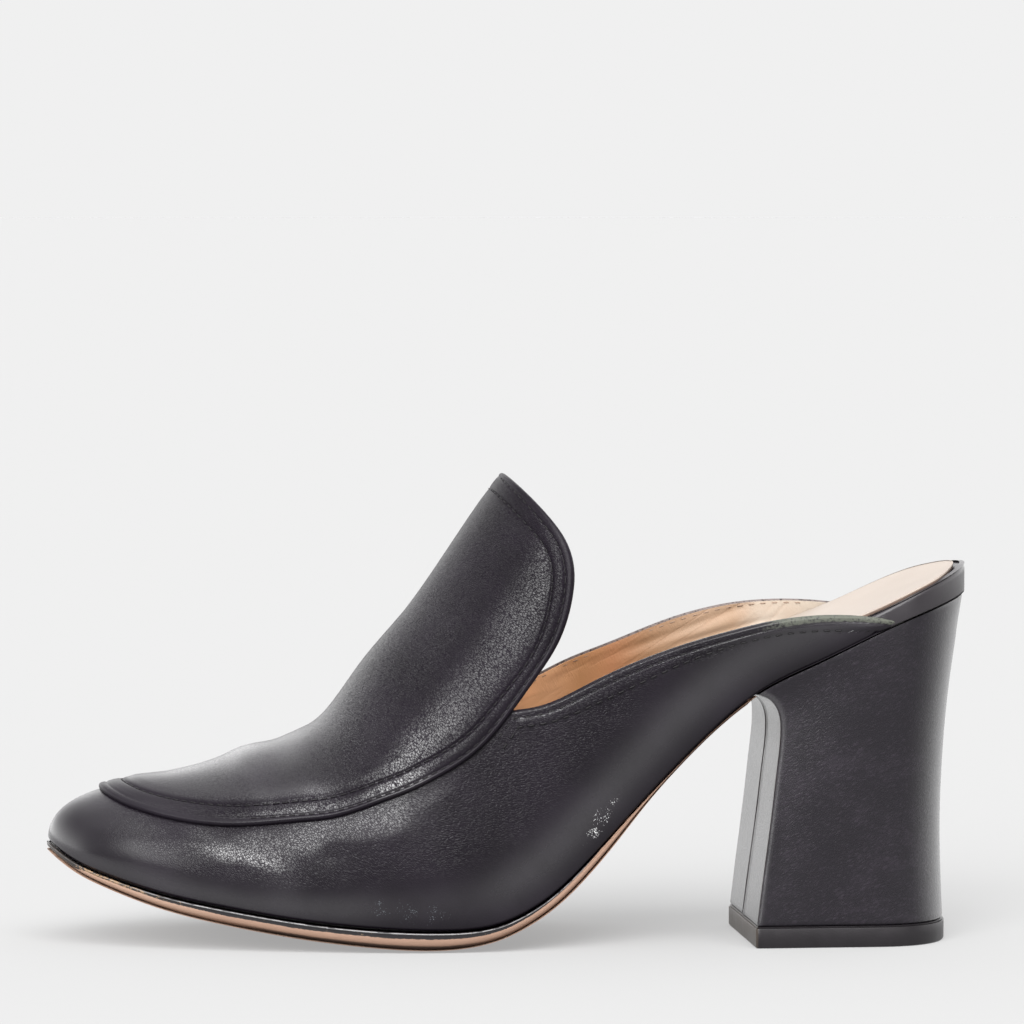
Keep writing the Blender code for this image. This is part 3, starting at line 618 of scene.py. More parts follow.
def black_leather(name, turn, changes, specular, waves, roughness, depth=0.095, scuffs=(), blur=0.20):
    """Leather whose crinkles are turned by turn degrees; each of the changes (x from, x to, degrees) gives
    them another turn from there on. depth is that of the crinkles in mm where the mark `flex` is 1, and
    waves that of the broad unevenness. blur is the roughness of the wax, and scuffs are places, radii, how
    rare the specks are there, and their colours. The mark `painted` says where the cut edge is painted,
    which is paler on the inner side."""
    def paint(finish):
        place = finish.place()
        flex, painted = finish.attribute("flex"), finish.attribute("painted")
        x, y, _ = finish.split(place)
        cells = crinkle(finish, turn)
        for begin, end, turned in changes:
            change = x.step(begin * MM, end * MM)
            cells = cells * (1 - change) + crinkle(finish, turned) * change
        grain = fine_grain(finish)
        height = cells.step(0.0, 0.30) * flex * (depth * MM) + grain * (0.02 * MM)
        height = height + finish.noise(place, 130.0, 1.0) * (waves * MM)
        relief = finish.relief(height)
        cloud = finish.noise(place, 60.0, 3.0)
        shade = finish.mix(cloud.step(0.3, 0.75), DEEP_BLACK, SOFT_BLACK)
        sparkle = finish.noise(place, 1700.0, 2.0, 0.6).step(0.30, 0.72)
        crests = cells.step(0.03, 0.20) * (0.55 + sparkle * 0.75)
        gloss = crests * flex + (0.85 + cloud * 0.3) * (1 - flex)
        dull = painted * (finish.noise(place, 1500.0, 3.0, 0.7) + painted * 0.3).step(0.60, 0.82)
        # The painted edge is a paler colour on the inner side.
        shade = finish.mix(dull, shade, finish.mix(y.step(0, 10 * MM), EDGE_PAINT, INNER_EDGE_PAINT))
        rough = roughness + cloud * 0.10 - 0.05 + dull * 0.3
        specks, streaks = finish.noise(place, 3000.0, 2.0, 0.6), finish.noise(place, 330.0, 2.0)
        for centre, radius, low, tint in scuffs:
            worn = finish.spot(centre, radius) * 0.5 + specks * 0.75 + streaks * 0.30
            mask = worn.step(low, low + 0.06)
            shade = finish.mix(mask, shade, colour(*tint))
            rough = rough + mask * 0.25
        coat = gloss * finish.attribute("polish") * (1 - dull)
        return {"Base Color": shade, "Roughness": rough, "Normal": relief, "Coat Weight": coat.clamp()}

    return material(name, roughness, paint, Specular_IOR_Level=specular, Coat_Roughness=blur, Coat_IOR=1.7)


# %% Scuffs, and the leather of the sides and the apron
BARE, WORN, SPLIT, GREYED = (0.42, 0.42, 0.42), (0.35, 0.35, 0.35), (0.16, 0.15, 0.13), (0.08, 0.09, 0.10)
SCUFFS = (              # centre in mm, radius, how rare the specks are, colour: at the waist, under the ball
    ((-62.0, -22.0, 33.5), 8.0, 1.00, BARE),
    ((-64.2, -22.0, 30.0), 8.0, 1.01, BARE),
    ((-66.8, -22.0, 26.5), 5.5, 1.02, WORN),
    ((-59.3, -22.0, 37.5), 5.5, 1.02, WORN),
    ((-60.5, -22.0, 31.5), 2.5, 0.98, SPLIT),
    ((-117.0, -24.0, 11.0), 12.0, 1.08, GREYED),
    ((-111.0, -24.0, 10.5), 12.0, 1.06, GREYED),
    ((-104.0, -24.0, 10.0), 12.0, 1.06, GREYED),
)
side_finish = black_leather("side_leather", 42, [(-125, -95, 10)], specular=0.12, waves=0.12,
                            roughness=0.34, scuffs=SCUFFS)
apron_finish = black_leather("apron_leather", 8, [(-152, -142, 60), (-110, -85, 35)], specular=0.04,
                             waves=0.08, roughness=0.38, depth=0.13, blur=0.26)

# %% [markdown]
# ## Side leather
# The upper is one piece of leather that wraps the toe and runs back as a low wing on each side. A flat
# pattern could be wrapped round the last, as a shoemaker does, but a grid on the last is quicker and
# always fits. It goes from the end of the outer wing round the toe to the end of the inner wing, and down
# each section from the top edge to the feather line. The rows are placed by distance from the top edge,
# so that the turned edge and the two seams below it have enough points. A lap runs on under the apron.

# %% Where the apron and the wings end on the last
def apron_edge():
    """Spline of (angle, v) over the rows of APRON_EDGE. A mirrored row at each end makes it cross the middle
    squarely."""
    rows = np.array(APRON_EDGE)
    turn = turn_of(rows[:, 0])
    before, after = (-turn[1], rows[1, 1]), (turn[-2], 2 - rows[-2, 1])
    path = np.vstack([before, np.column_stack([turn, rows[:, 1]]), after])
    return spline(np.arange(-1, len(rows) + 1), path)


edge_path = apron_edge()
LAP = 0.012             # share of the apron's half width by which it covers the side leather


def apron_map(row, inward):
    """(x, v) at a row of the apron's edge and a share inward from it to the ridge."""
    turn, v = np.moveaxis(edge_path(row), -1, 0)
    x = x_of(np.abs(turn))
    spine = x - ramp(x - SPINE_END, SPINE_SOFTNESS)
    return x + (spine - x) * inward, v + (1 - v) * inward


def even_rows(front, back):
    """Rows of the apron's edge, evenly spaced on the last: front of them to the notch, back of them
    beyond it."""
    fine = np.linspace(0, len(APRON_EDGE) - 1, 1200)
    length = arc_length(last_surface(*apron_map(fine, 0.0), OUTER))
    notch = np.interp(NOTCH_ROW, fine, length)
    spaced = np.concatenate([np.linspace(0, notch, front), np.linspace(notch, length[-1], back)[1:]])
    rows = np.interp(spaced, length, fine)
    rows[front - 1] = NOTCH_ROW
    return rows


def wing_top(side):
    """Spline of v over x along a wing's top edge, from the notch back."""
    notch = [float(value) for value in apron_map(NOTCH_ROW, LAP)]
    return columns([notch] + [(row[0], row[1 if side == OUTER else 2]) for row in WING_TOP])


def stations(start, end, step):
    """x of evenly spaced places along the outer feather line."""
    x = TOE_TIP + (end - TOE_TIP) * (1 - np.cos(np.linspace(0, np.pi / 2, 800)))
    length = arc_length(feather(x, OUTER))
    first = np.interp(start, x, length)
    return np.interp(np.linspace(first, length[-1], round((length[-1] - first) / step) + 1), length, x)


ROW_STEP = 1.35
FRONT, BACK = 125, 66
EDGE_ROWS = even_rows(FRONT, BACK)
WING_X = stations(NOTCH_X, WING_END, ROW_STEP)[1:]
print(FRONT, "columns from toe to notch,", len(WING_X), "along each wing,", BACK, "round half the tongue")


# %% Rows down the side
TOP_SEAM = 2.2          # mm under the wing's top edge
LOW_SEAM = (            # x, and how far under the top edge the second seam runs there
    (-70.0, 5.0), (-58.0, 5.4), (-44.0, 4.5), (-28.0, 3.9), (-18.0, 4.3), (-8.0, 5.0), (1.0, 5.6),
    (WING_END, 5.6),
)
low_seam = columns(LOW_SEAM)


def wall_columns(rows, wing_x, side):
    """x, the top edge's v and whether the edge is free, for each column from the toe back."""
    x, top = apron_map(rows, LAP)
    free = np.concatenate([np.zeros(len(x)), np.ones(len(wing_x))])
    return np.concatenate([x, wing_x]), np.concatenate([top, wing_top(side)(wing_x)]), free


NEAR_TOP = 0.15         # share of the way down that gets half of the rows


def down_shares(dense, middle):
    """Shares of the way down a section: closer together near the top edge and at the feather line."""
    near_top = np.linspace(0, NEAR_TOP, dense)
    rest = NEAR_TOP + (1 - NEAR_TOP) * np.sin(np.linspace(0, np.pi / 2, middle))
    return np.concatenate([near_top, rest[1:]])


FINE_DOWN = 220         # places down a section at which its length is measured


def wall_skin(rows, wing_x, shares, side):
    """Points of the side on the last, each one's distance down from the top edge, and whether it is on a
    wing, where that edge is free."""
    x, top, free = wall_columns(rows, wing_x, side)
    climb = np.linspace(1, 0, FINE_DOWN)[:, None]
    fine = last_surface(x[None], climb * top[None], side)
    length = arc_length(fine)
    wanted = shares[:, None] * length[-1][None]
    v = at_lengths(length, climb * top[None], wanted)
    return last_surface(x[None], v, side), wanted, np.broadcast_to(free, wanted.shape)


# %% Folds and gloss of the sides
SIDE_FOLDS_OUTER = (
    (-168.0, 32.5, -154.0, 21.5, 3.0, 0.26),
    (-157.0, 33.0, -146.0, 26.0, 2.6, -0.22),
    (-153.0, 24.0, -137.0, 14.5, 3.2, 0.34),
    (-143.0, 32.0, -134.0, 24.0, 3.0, 0.14),
    (-131.0, 27.0, -120.0, 14.0, 4.5, -0.45),
    (-132.0, 28.5, -110.0, 29.5, 3.0, 0.30),
    (-104.0, 42.0, -94.0, 24.0, 4.8, 0.30),
    (-92.0, 48.0, -84.0, 28.0, 5.0, -0.30),
    (-62.0, 60.0, -36.0, 66.0, 4.0, -0.35),
)
SIDE_POLISH = (         # strokes of the same form as folds, with a share of gloss in place of the height
    (-180.0, 30.0, -166.0, 28.0, 4.5, 0.13),
    (-165.0, 31.5, -153.5, 23.0, 3.6, 0.50),
    (-153.5, 24.5, -137.0, 16.5, 4.4, 0.52),
    (-150.0, 30.5, -131.0, 23.0, 5.0, 0.17),
    (-139.0, 24.0, -122.0, 22.0, 4.5, 0.16),
    (-141.0, 31.5, -104.0, 35.5, 4.4, 0.20),
    (-116.0, 36.0, -104.0, 27.0, 4.5, 0.08),
    (-172.0, 34.0, -192.0, 36.0, 5.0, 0.35),
)
SIDE_FOLDS_INNER = (
    (-142.0, 36.0, -136.0, 18.0, 3.8, 0.50),
    (-134.0, 36.0, -127.0, 19.0, 3.4, -0.50),
    (-124.0, 38.0, -116.0, 19.0, 4.2, 0.45),
    (-112.0, 40.0, -103.0, 22.0, 4.4, -0.35),
)


# %% The turned edge and its seams
def lip_drop(distance, radius):
    """Drop of a rounded edge, very nearly a quarter circle, as a share of its radius."""
    over = np.clip(1 - distance / radius, 0, 1)
    return 1 - np.sqrt(1 - over**2 * 0.99)


FOLD_STEP, FOLD_SWELL = 0.30, 0.10
ROUNDED_EDGE = 0.9
TOP_GROOVE, LOW_GROOVE, LOW_GROOVE_BEHIND, GROOVE_WIDTH = 0.14, 0.26, 0.40, 0.38


def seam_relief(x, down, free):
    """The leather is folded over at the top edge, so it stands a little proud down to the second seam. Each
    seam pulls a groove, and the leather swells between them."""
    low = low_seam(np.maximum(x, LOW_SEAM[0][0]))
    strip = FOLD_STEP * (1 - soft(down, low - 0.2, low + 0.9))
    swell = FOLD_SWELL * bump(down - (TOP_SEAM + low) / 2, 0.9)
    rounded = -ROUNDED_EDGE * bump(down, 0.45)
    low_groove = LOW_GROOVE + (LOW_GROOVE_BEHIND - LOW_GROOVE) * soft(x, -45, -20)
    grooves = TOP_GROOVE * bump(down - TOP_SEAM, GROOVE_WIDTH) + low_groove * bump(down - low, GROOVE_WIDTH)
    return free * (strip + swell + rounded - grooves)


# %% Welded pieces of both sides
def both_sides(arrays):
    """Arrays of the two sides joined at the toe, from the outer side's last column to the inner side's."""
    return [np.concatenate([a[:, :0:-1], b], axis=1) for a, b in zip(arrays(OUTER), arrays(INNER))]


def fitted(arrays):
    """Welded points, triangles, outward normals and the other arrays at the points, from grids. The first
    grid holds the points."""
    quads = quads_of(*arrays[0].shape[:2])
    flat = [array.reshape(-1, *array.shape[2:]) for array in arrays]
    keep, quads = weld(flat[0], quads)
    points, *others = (array[keep] for array in flat)
    triangles = triangles_of(quads)
    normals = normals_of(points, triangles)
    # Outward is away from a place inside the shoe.
    inside = points.mean(0) - (0, 0, 15)
    turned = np.sign(((points - inside) * normals).sum())
    return points, triangles, normals * turned, *others


# %% Build the side leather
LEATHER = 1.0           # thickness of the leather alone, the lining lies inside it
SHARES = down_shares(24, 42)


def side_arrays(side):
    """Points of one side, and at each the relief and the marks: the last's surface by rows down from the top
    edge, with folds, seams and the roll under the feather line added up."""
    points, down, free = wall_skin(EDGE_ROWS[:FRONT], WING_X, SHARES, side)
    table = SIDE_FOLDS_OUTER if side == OUTER else SIDE_FOLDS_INNER
    relief = folds(points, table) * soft(down, 1.0, 6.0) + seam_relief(points[..., 0], down, free)
    low = last_surface(points[-1:, :, 0], 0.0, side)
    above = np.linalg.norm(points - low, axis=-1)
    x = points[..., 0]
    # Below, the leather rolls in under the last, more so beside the heel.
    rolled = soft(x, -40, -8)
    relief = relief - (0.92 + 0.7 * rolled) * lip_drop(above, 1.4 + 2.2 * rolled)
    # It bends least at the toe, close to the sole and on the wings, but their folded edge is crinkled.
    smooth = np.interp(x, (-140, -90), (6, 12))
    flex = soft(x, -192, -170) * (0.12 + 0.88 * soft(above / smooth, 1.0, 2.1))
    flex = flex * (1 - 0.6 * soft(x, -62, -35))
    folded_edge = free * (1 - soft(down, 4.5, 6.5)) * (1 - soft(x, -40, -20))
    flex = np.maximum(flex, folded_edge)
    # A band of gloss runs along the sole, weaker under the ball.
    middle, width = np.interp(x, (-150, -90), (2.8, 9.0)), np.interp(x, (-150, -90), (3.2, 5.6))
    sheen = 0.80 * (1 - 0.5 * (soft(x, -128, -110) - soft(x, -98, -82)))
    polish = 0.07 + sheen * bump(above - middle, width) + folds(points, SIDE_POLISH)
    edge = 1 - soft(down, 1.9, 2.6)
    polish = polish * (1 - 0.4 * free * edge) + 0.20 * folded_edge
    return points, relief, flex, polish, free * edge * soft(x, -30, -14) * (side == OUTER), free * edge


points, triangles, normals, relief, flex, polish, painted, turned_in = fitted(both_sides(side_arrays))
BACK_POLISH = 0.13      # of the leather's back
side_leather = shell("side_leather", points + normals * relief[:, None], points - normals * LEATHER,
                     triangles, side_finish, {"flex": (flex, 0 * flex), "painted": (painted, turned_in),
                                              "polish": (polish, 0 * flex + BACK_POLISH)})
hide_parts("upper")

# %% [markdown]
# ## Apron
# The apron is the plate of leather over the vamp, and it runs on upwards as a tongue. Its edge is turned
# under and stitched down, which leaves a rounded lip and a line of stitches. A second seam, pressed in
# from below, runs about 5 mm further in, and the leather is lightly padded inside it. Edge loops could be
# cut along both seams by hand. Here the mesh is a grid of rings whose rows are placed by their distance
# in from the edge, so that the seams stay parallel to it, with narrow rows at the lip and the seams and
# wide ones in the middle.

# %% Rings of the apron
# Row of the apron's edge, how far in the two seams lie, the depth of the inner one, the padding inside
# it, and how much the band between the seams climbs.
APRON_SEAMS = (
    (0, 2.1, 6.0, 0.44, 0.40, 0.0), (2, 2.1, 5.9, 0.44, 0.40, 0.1), (3, 2.2, 5.6, 0.42, 0.30, 0.3),
    (4, 1.8, 5.3, 0.40, 0.20, 0.45), (5, 1.6, 5.0, 0.38, 0.20, 0.45), (6, 1.4, 5.0, 0.36, 0.26, 0.3),
    (8, 1.3, 4.9, 0.33, 0.26, 0.1), (10, 1.3, 4.8, 0.30, 0.22, 0.0), (12, 1.4, 4.3, 0.26, 0.16, 0.0),
    (13, 1.5, 3.9, 0.24, 0.14, 0.0), (14, 1.7, 4.4, 0.22, 0.12, 0.0), (15, 1.9, 5.0, 0.20, 0.10, 0.0),
    (17, 2.2, 5.4, 0.20, 0.08, 0.0), (19, 2.1, 5.4, 0.20, 0.08, 0.0), (20, 1.8, 5.3, 0.20, 0.08, 0.0),
    (22, 1.4, 5.2, 0.20, 0.08, 0.0),
)
apron_seams = columns(APRON_SEAMS)
RING_DEPTHS = np.concatenate([np.linspace(0, 0.9, 7), np.linspace(1.1, 9.0, 34)])
MIDDLE_RINGS = 24
FINE_INWARD = 240        # places from the edge to the ridge at which a column's length is measured
EDGE_RUN = 3.0           # mm over which a column's direction at the edge is taken
LEAST_SQUARE = 0.7       # the most that its slant is allowed for, as the square of a cosine


def apron_skin(rows, depths, middle, side):
    """Points of the apron's area on the last, and each one's distance in from the edge. Each column runs
    from the edge to the ridge; where it leaves the edge at an angle, the distances along it are stretched
    to match."""
    fine = np.linspace(0, 1, FINE_INWARD)[:, None]
    path = last_surface(*apron_map(rows[None], fine), side)
    length = arc_length(path)
    tangent = np.gradient(path[0], axis=0)
    tangent /= np.linalg.norm(tangent, axis=-1, keepdims=True)
    start = at_lengths(length, path, np.full((1, len(rows)), EDGE_RUN))[0] - path[0]
    start /= np.linalg.norm(start, axis=-1, keepdims=True)
    square = np.sqrt(1 - np.minimum((start * tangent).sum(-1)**2, LEAST_SQUARE))
    near = depths[:, None] / square
    rest = near[-1] + (length[-1] - near[-1]) * np.linspace(0, 1, middle + 1)[1:, None]
    wanted = np.concatenate([near, rest])
    share = at_lengths(length, np.broadcast_to(fine, length.shape), wanted)
    x, v = apron_map(rows[None], share)
    return last_surface(x, np.minimum(v, 1.0), side), wanted * square


# %% Lip, seams and folds of the apron
APRON_TOP = 1.4          # height of the apron's outside over the last
APRON_FOOT = 0.2         # and of its underside

APRON_FOLDS = (
    (-147.0, 50.0, -151.0, 39.0, 3.4, 0.50),
    (-139.0, 50.0, -145.0, 37.0, 4.2, -0.62),
    (-131.0, 52.0, -138.0, 40.0, 4.0, 0.35),
)
GLOSS_X = (-175, -160, -145, -130, -110, -90)
GLOSS = (0.56, 0.66, 0.66, 0.50, 0.33, 0.26)
APRON_POLISH = (
    (-147.0, 35.8, -126.0, 38.6, 2.4, 0.50),
    (-120.0, 39.0, -105.0, 44.0, 2.8, 0.55),
    (-116.0, 45.0, -106.0, 54.0, 4.5, 0.18),
    (-98.0, 58.0, -86.0, 78.0, 7.0, -0.07),
    (-119.0, 42.0, -92.0, 79.0, 3.2, -0.16),
    (-110.0, 66.0, -98.0, 84.0, 6.0, 0.10),
    (-147.0, 48.0, -151.0, 42.0, 3.0, 0.15),
    (-138.0, 48.0, -145.0, 39.0, 4.0, -0.10),
)
LIP = 0.8                # radius of the apron's rounded edge
STITCHED_GROOVE = 0.24
PADDING_STARTS, PADDING_FULL = 0.3, 4.0   # mm in from the inner seam


def apron_relief(depth, stitched, pressed, groove, padding, climb):
    """Height over the plain apron at a distance in from its edge: a lip, two grooves with the leather
    swelling beside them, the climb between them and the padding inside."""
    lip = -LIP * lip_drop(depth, LIP)
    grooves = STITCHED_GROOVE * bump(depth - stitched, 0.30) + groove * bump(depth - pressed, 0.36)
    swell = 0.06 * bump(depth - stitched * 0.45, 0.7) + 0.10 * bump(depth - (stitched + pressed) / 2, 1.1)
    padded = padding * soft(depth, pressed + PADDING_STARTS, pressed + PADDING_FULL)
    return lip + climb * soft(depth, 1.0, pressed) - grooves + swell + padded


# %% Build the apron
def apron_arrays(side):
    """Points of one half of the apron, and at each the relief and the marks: the last's surface by rings in
    from the edge, with the seams' relief and the folds added up."""
    points, depth = apron_skin(EDGE_ROWS, RING_DEPTHS, MIDDLE_RINGS, side)
    seams = apron_seams(EDGE_ROWS).T
    pressed = seams[1]
    relief = apron_relief(depth, *seams) + folds(points, APRON_FOLDS) * soft(depth, 1, 5)
    x = points[..., 0]
    flex = soft(x, -180, -152) * (0.3 + 0.7 * soft(depth, 0.8, 2.5))
    flex = flex * (1 - 0.65 * soft(depth, 5, 9) * (1 - soft(x, -140, -120)))
    # The gloss is strongest over the toes, weaker between the seams and in the front of the inner one.
    polish = np.interp(x, GLOSS_X, GLOSS) * (0.45 + 0.55 * soft(depth, 5.0, 7.0))
    polish = polish + folds(points, APRON_POLISH)
    polish = polish * (1 + 0.4 * soft(depth, 10, 22) * (1 - soft(x, -128, -108)))
    polish = polish * (1 - 0.75 * bump(depth - pressed - 0.5, 0.9) * (1 - soft(x, -128, -112)))
    return points, relief, flex, polish * (0.55 + 0.45 * soft(depth, 0.6, 1.8))


points, triangles, normals, relief, flex, polish = fitted(both_sides(apron_arrays))
apron = shell("apron_leather", points + normals * (APRON_TOP + relief)[:, None],
              points + normals * APRON_FOOT, triangles, apron_finish,
              {"flex": (flex, 0 * flex), "polish": (polish, 0 * polish)})
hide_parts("apron")

# %% [markdown]
# ## Stitches
# A stitch is a short piece of thread that lies in its groove and dives into the leather at both ends. An
# Array modifier along a curve could place them, but would let them roll over where the seam twists. So
# each is a small tube that stands on the leather's own normal: t runs along it, its radius is constant in
# the middle and closes to a point at both ends, and its middle line dips at the ends. All stitches of a
# seam come from one array with the axes stitch, t and round.

# %% Rows of stitches
def grid_normals(points):
    """Outward unit normals of a grid, from the cross product of its two directions."""
    across = np.cross(np.gradient(points, axis=0), np.gradient(points, axis=1))
    across /= np.maximum(np.linalg.norm(across, axis=-1, keepdims=True), 1e-9)
    inside = points.reshape(-1, 3).mean(0) * (1, 0, 1) + (0, 12, -15)
    return across * np.sign(((points - inside) * across).sum())


def along_path(length, values, where):
    """Vectors at distances along a path; length is the distance at each of the values."""
    return np.stack([np.interp(where, length, values[:, i]) for i in range(3)], -1)


def stitch_row(path, ups, pitch, radius, lift, share=0.74):
    """Points and quads of the stitches along a path on the leather; ups are its normals. A stitch takes a
    share of the pitch, and its thread lies lift above the leather, or below it where lift is negative."""
    length = arc_length(path)
    count = int(length[-1] / pitch - 0.5)
    t = np.linspace(-1, 1, 9)
    where = (np.arange(count)[:, None] + 0.5 + t * share / 2) * pitch
    middle, up = along_path(length, path, where), along_path(length, ups, where)
    ahead = along_path(length, path, where + 0.05) - along_path(length, path, where - 0.05)
    aside = np.cross(ahead, up)
    aside /= np.linalg.norm(aside, axis=-1, keepdims=True)
    middle = middle + up * (lift + radius - 1.6 * radius * t**6)[:, None]
    thick = radius * np.sqrt(1 - t**8)
    turn = np.linspace(0, 2 * np.pi, 7)[:-1]
    round_it = np.cos(turn)[:, None] * aside[:, :, None] + np.sin(turn)[:, None] * up[:, :, None]
    points = middle[:, :, None] + thick[:, None, None] * round_it
    one = quads_of(len(t), len(turn), closed=True)
    quads = one[None] + (np.arange(count) * len(t) * len(turn))[:, None, None]
    return points.reshape(-1, 3), quads.reshape(-1, 4)


def sew(name, rows, finish):
    """One object from several rows of stitches."""
    starts = np.cumsum([0] + [len(points) for points, _ in rows])
    points = np.concatenate([points for points, _ in rows])
    quads = np.concatenate([quads + start for (_, quads), start in zip(rows, starts)])
    keep, quads = weld(points, quads)
    return put(name, points[keep], triangles_of(quads), finish, sharp=180)


# %% Threads
def thread_paint(finish):
    """A fine noise as relief, like the twist of a thread."""
    twist = finish.noise(finish.place(), 2600.0, 2.0)
    return {"Normal": finish.relief(twist * (0.05 * MM))}


black_thread = material("black_thread", 0.5, thread_paint, Base_Color=colour(0.006, 0.005, 0.006),
                        Specular_IOR_Level=0.20)
tan_thread = material("tan_thread", 0.6, thread_paint, Base_Color=colour(0.20, 0.13, 0.09))

# %% Sew the wings and the apron
WING_PITCH, APRON_PITCH = 3.0, 2.5
TOP_ROW, LOW_ROW = (-18.0, 0.17), (1.5, 0.22)    # x where a wing's row ends, its thread's radius
WING_LIFT, WING_SHARE = -0.12, 0.66      # of the thread there, and the stitch's share of the pitch
STITCHED_ROW, PRESSED_ROW = (0.17, -0.12), (0.18, -0.04)     # radius and lift of the apron's threads
STITCHED_FROM = -150.0   # ahead of this x the outer row has sunk out of sight and isn't made
wing_rows = []
for side in (OUTER, INNER):
    points, down, free = wall_skin(EDGE_ROWS[FRONT - 8:FRONT], WING_X, SHARES, side)
    surface = points + grid_normals(points) * seam_relief(points[..., 0], down, free)[..., None]
    ups = grid_normals(surface)
    top, low = np.full((1, points.shape[1]), TOP_SEAM), low_seam(points[:1, :, 0])
    for wanted, end, thread in ((top, *TOP_ROW), (low, *LOW_ROW)):
        path, up = (at_lengths(down, array, wanted)[0] for array in (surface, ups))
        kept = path[:, 0] < end
        wing_rows.append(stitch_row(path[kept], up[kept], WING_PITCH, thread, WING_LIFT, WING_SHARE))
sew("wing_stitches", wing_rows, black_thread)

apron_rows = []
for side in (OUTER, INNER):
    points, depth = apron_skin(EDGE_ROWS, RING_DEPTHS, 2, side)
    seams = apron_seams(EDGE_ROWS).T
    stitched, pressed = seams[:2]
    surface = points + grid_normals(points) * (APRON_TOP + apron_relief(depth, *seams))[..., None]
    ups = grid_normals(surface)
    for wanted, start, row in ((stitched, STITCHED_FROM, STITCHED_ROW), (pressed, TOE_TIP, PRESSED_ROW)):
        path, up = (at_lengths(depth, array, wanted[None])[0] for array in (surface, ups))
        kept = path[:, 0] > start
        apron_rows.append(stitch_row(path[kept], up[kept], APRON_PITCH, *row))
sew("apron_stitches", apron_rows, black_thread)

# %% [markdown]
# ## Lining
# A tan lining lies inside the leather. It shows on the inner wing, in the heel entry and inside the
# tongue. Being glued to leather that bends, it has long soft creases, and these are painted darker as
# painted shade. It is cut from the same last, a little further in. Its colour could be painted on the
# mesh, but follows x here, through a Color Ramp node, so that it can be changed in one short table of
# stops. It is much lighter at the front, painted light where the tongue shades the lining.

# %% Tan lining
LINING_TANS = (         # x, and the colour there: much lighter at the front as painted light where the tongue shades the lining, darkest in the middle and paler at the back
    (-85.0, 0.96, 0.54, 0.29), (-74.0, 0.88, 0.485, 0.255), (-68.0, 0.66, 0.36, 0.19),
    (-61.0, 0.385, 0.189, 0.08), (-53.0, 0.306, 0.137, 0.062), (-45.0, 0.225, 0.12, 0.06),
    (-38.0, 0.225, 0.14, 0.083), (-30.0, 0.235, 0.16, 0.105), (-22.0, 0.245, 0.17, 0.112),
    (-15.0, 0.33, 0.28, 0.228),
)
LINING_CREASES, CREASE_TURN = (0.045, 0.02, 0.006), np.radians(-34)      # sizes in metres, along and across
LINING_GATHERS, GATHER_TURN = (0.0045, 0.02, 0.0011), np.radians(62)
EDGE_INK = colour(0.010, 0.009, 0.010)


def tan_lining(finish):
    """The ramp's colour along x, with painted light in its front stops, mottled, and darker in the creases
    as painted shade. Creases are the places where a stretched noise is near its middle, and gathers are a
    second one, finer and steeper."""
    place = finish.place()
    x, _, _ = finish.split(place)
    lines = finish.noise(finish.stretched(place, LINING_CREASES, CREASE_TURN), 1.0, 2.0, 0.5, 0.8)
    crease = 1 - (lines * 2 - 1).math("ABSOLUTE").step(0.0, 0.16)
    gathers = finish.noise(finish.stretched(place, LINING_GATHERS, GATHER_TURN), 1.0, 3.0, 0.6, 1.5)
    nap = finish.noise(place, 2200.0, 3.0, 0.6)
    height = nap * (0.03 * MM) - crease * (0.05 * MM) + gathers * finish.attribute("gathered") * (0.10 * MM)
    relief = finish.relief(height)
    cloud = finish.noise(place, 90.0, 3.0).step(0.25, 0.8)
    front, back = LINING_TANS[0][0], LINING_TANS[-1][0]
    stops = [((row[0] - front) / (back - front), colour(*row[1:])) for row in LINING_TANS]
    # The ramp's front stops are much lighter: painted light where the tongue shades the lining.
    shade = finish.node("ShaderNodeValToRGB", {"stops": stops}, {0: (x / MM - front) / (back - front)})
    shade = finish.mix(cloud * 0.2, shade, colour(0.30, 0.16, 0.09))
    # Darker in the creases: painted shade.
    shade = finish.mix(crease * 0.12, shade, colour(0.22, 0.115, 0.06))
    shade = finish.mix(finish.attribute("tongue"), shade, colour(0.34, 0.185, 0.095))
    painted = finish.attribute("painted").step(0.25, 0.35)
    return {"Base Color": finish.mix(painted, shade, EDGE_INK), "Normal": relief}


# %% Build the lining
lining_finish = material("tan_lining", 0.6, tan_lining, Specular_IOR_Level=0.3)
LINING = (1.05, 1.7)     # depths of the lining's two faces inside the last's surface
LINING_SETBACK = 0.6     # of its edge from the leather's
LINING_SEAM = 1.3        # mm under the top edge, in tan thread
LINING_FOLDS = (         # on the inner wing
    (-52.0, 67.5, -18.0, 80.0, 1.0, 0.30), (-50.0, 70.5, -17.0, 83.0, 0.7, -0.40),
    (-60.0, 68.5, -42.0, 76.0, 1.1, 0.25), (-70.0, 63.0, -63.5, 68.5, 0.7, 0.30),
    (-68.0, 61.5, -60.0, 68.5, 0.6, -0.30), (-38.0, 72.0, -12.0, 79.0, 0.7, -0.35),
)
LINING_DOWN = 30         # rows of the side lining
TONGUE_RINGS = np.array([0.9, 4.0, 9.0])     # the tongue lining's first rings, in from the apron's edge
TONGUE_MIDDLE = 12       # and the number of rings from there to the middle
TONGUE_RISE = 0.1        # of its upper face over the last
LINING_ROW = (0.13, -0.08, 0.55)     # radius and lift of the thread, and the stitch's share of the pitch


def side_lining_arrays(side):
    """Points of one side of the lining, the mark for its gathers, and its folds: evenly spaced rows, the
    first set back from the leather's edge."""
    shares = np.linspace(0, 1, 2 * LINING_DOWN)
    points, down, free = wall_skin(EDGE_ROWS[:FRONT:2], WING_X[::2], shares, side)
    setback = np.minimum(LINING_SETBACK * free[0], 0.4 * down[-1])
    wanted = setback + (down[-1] - setback) * np.linspace(0, 1, LINING_DOWN)[:, None]
    points = at_lengths(down, points, wanted)
    gathered = free[:LINING_DOWN] * (1 - soft(wanted, 3.0, 9.0))
    return points, gathered, folds(points, LINING_FOLDS) * (side == INNER)


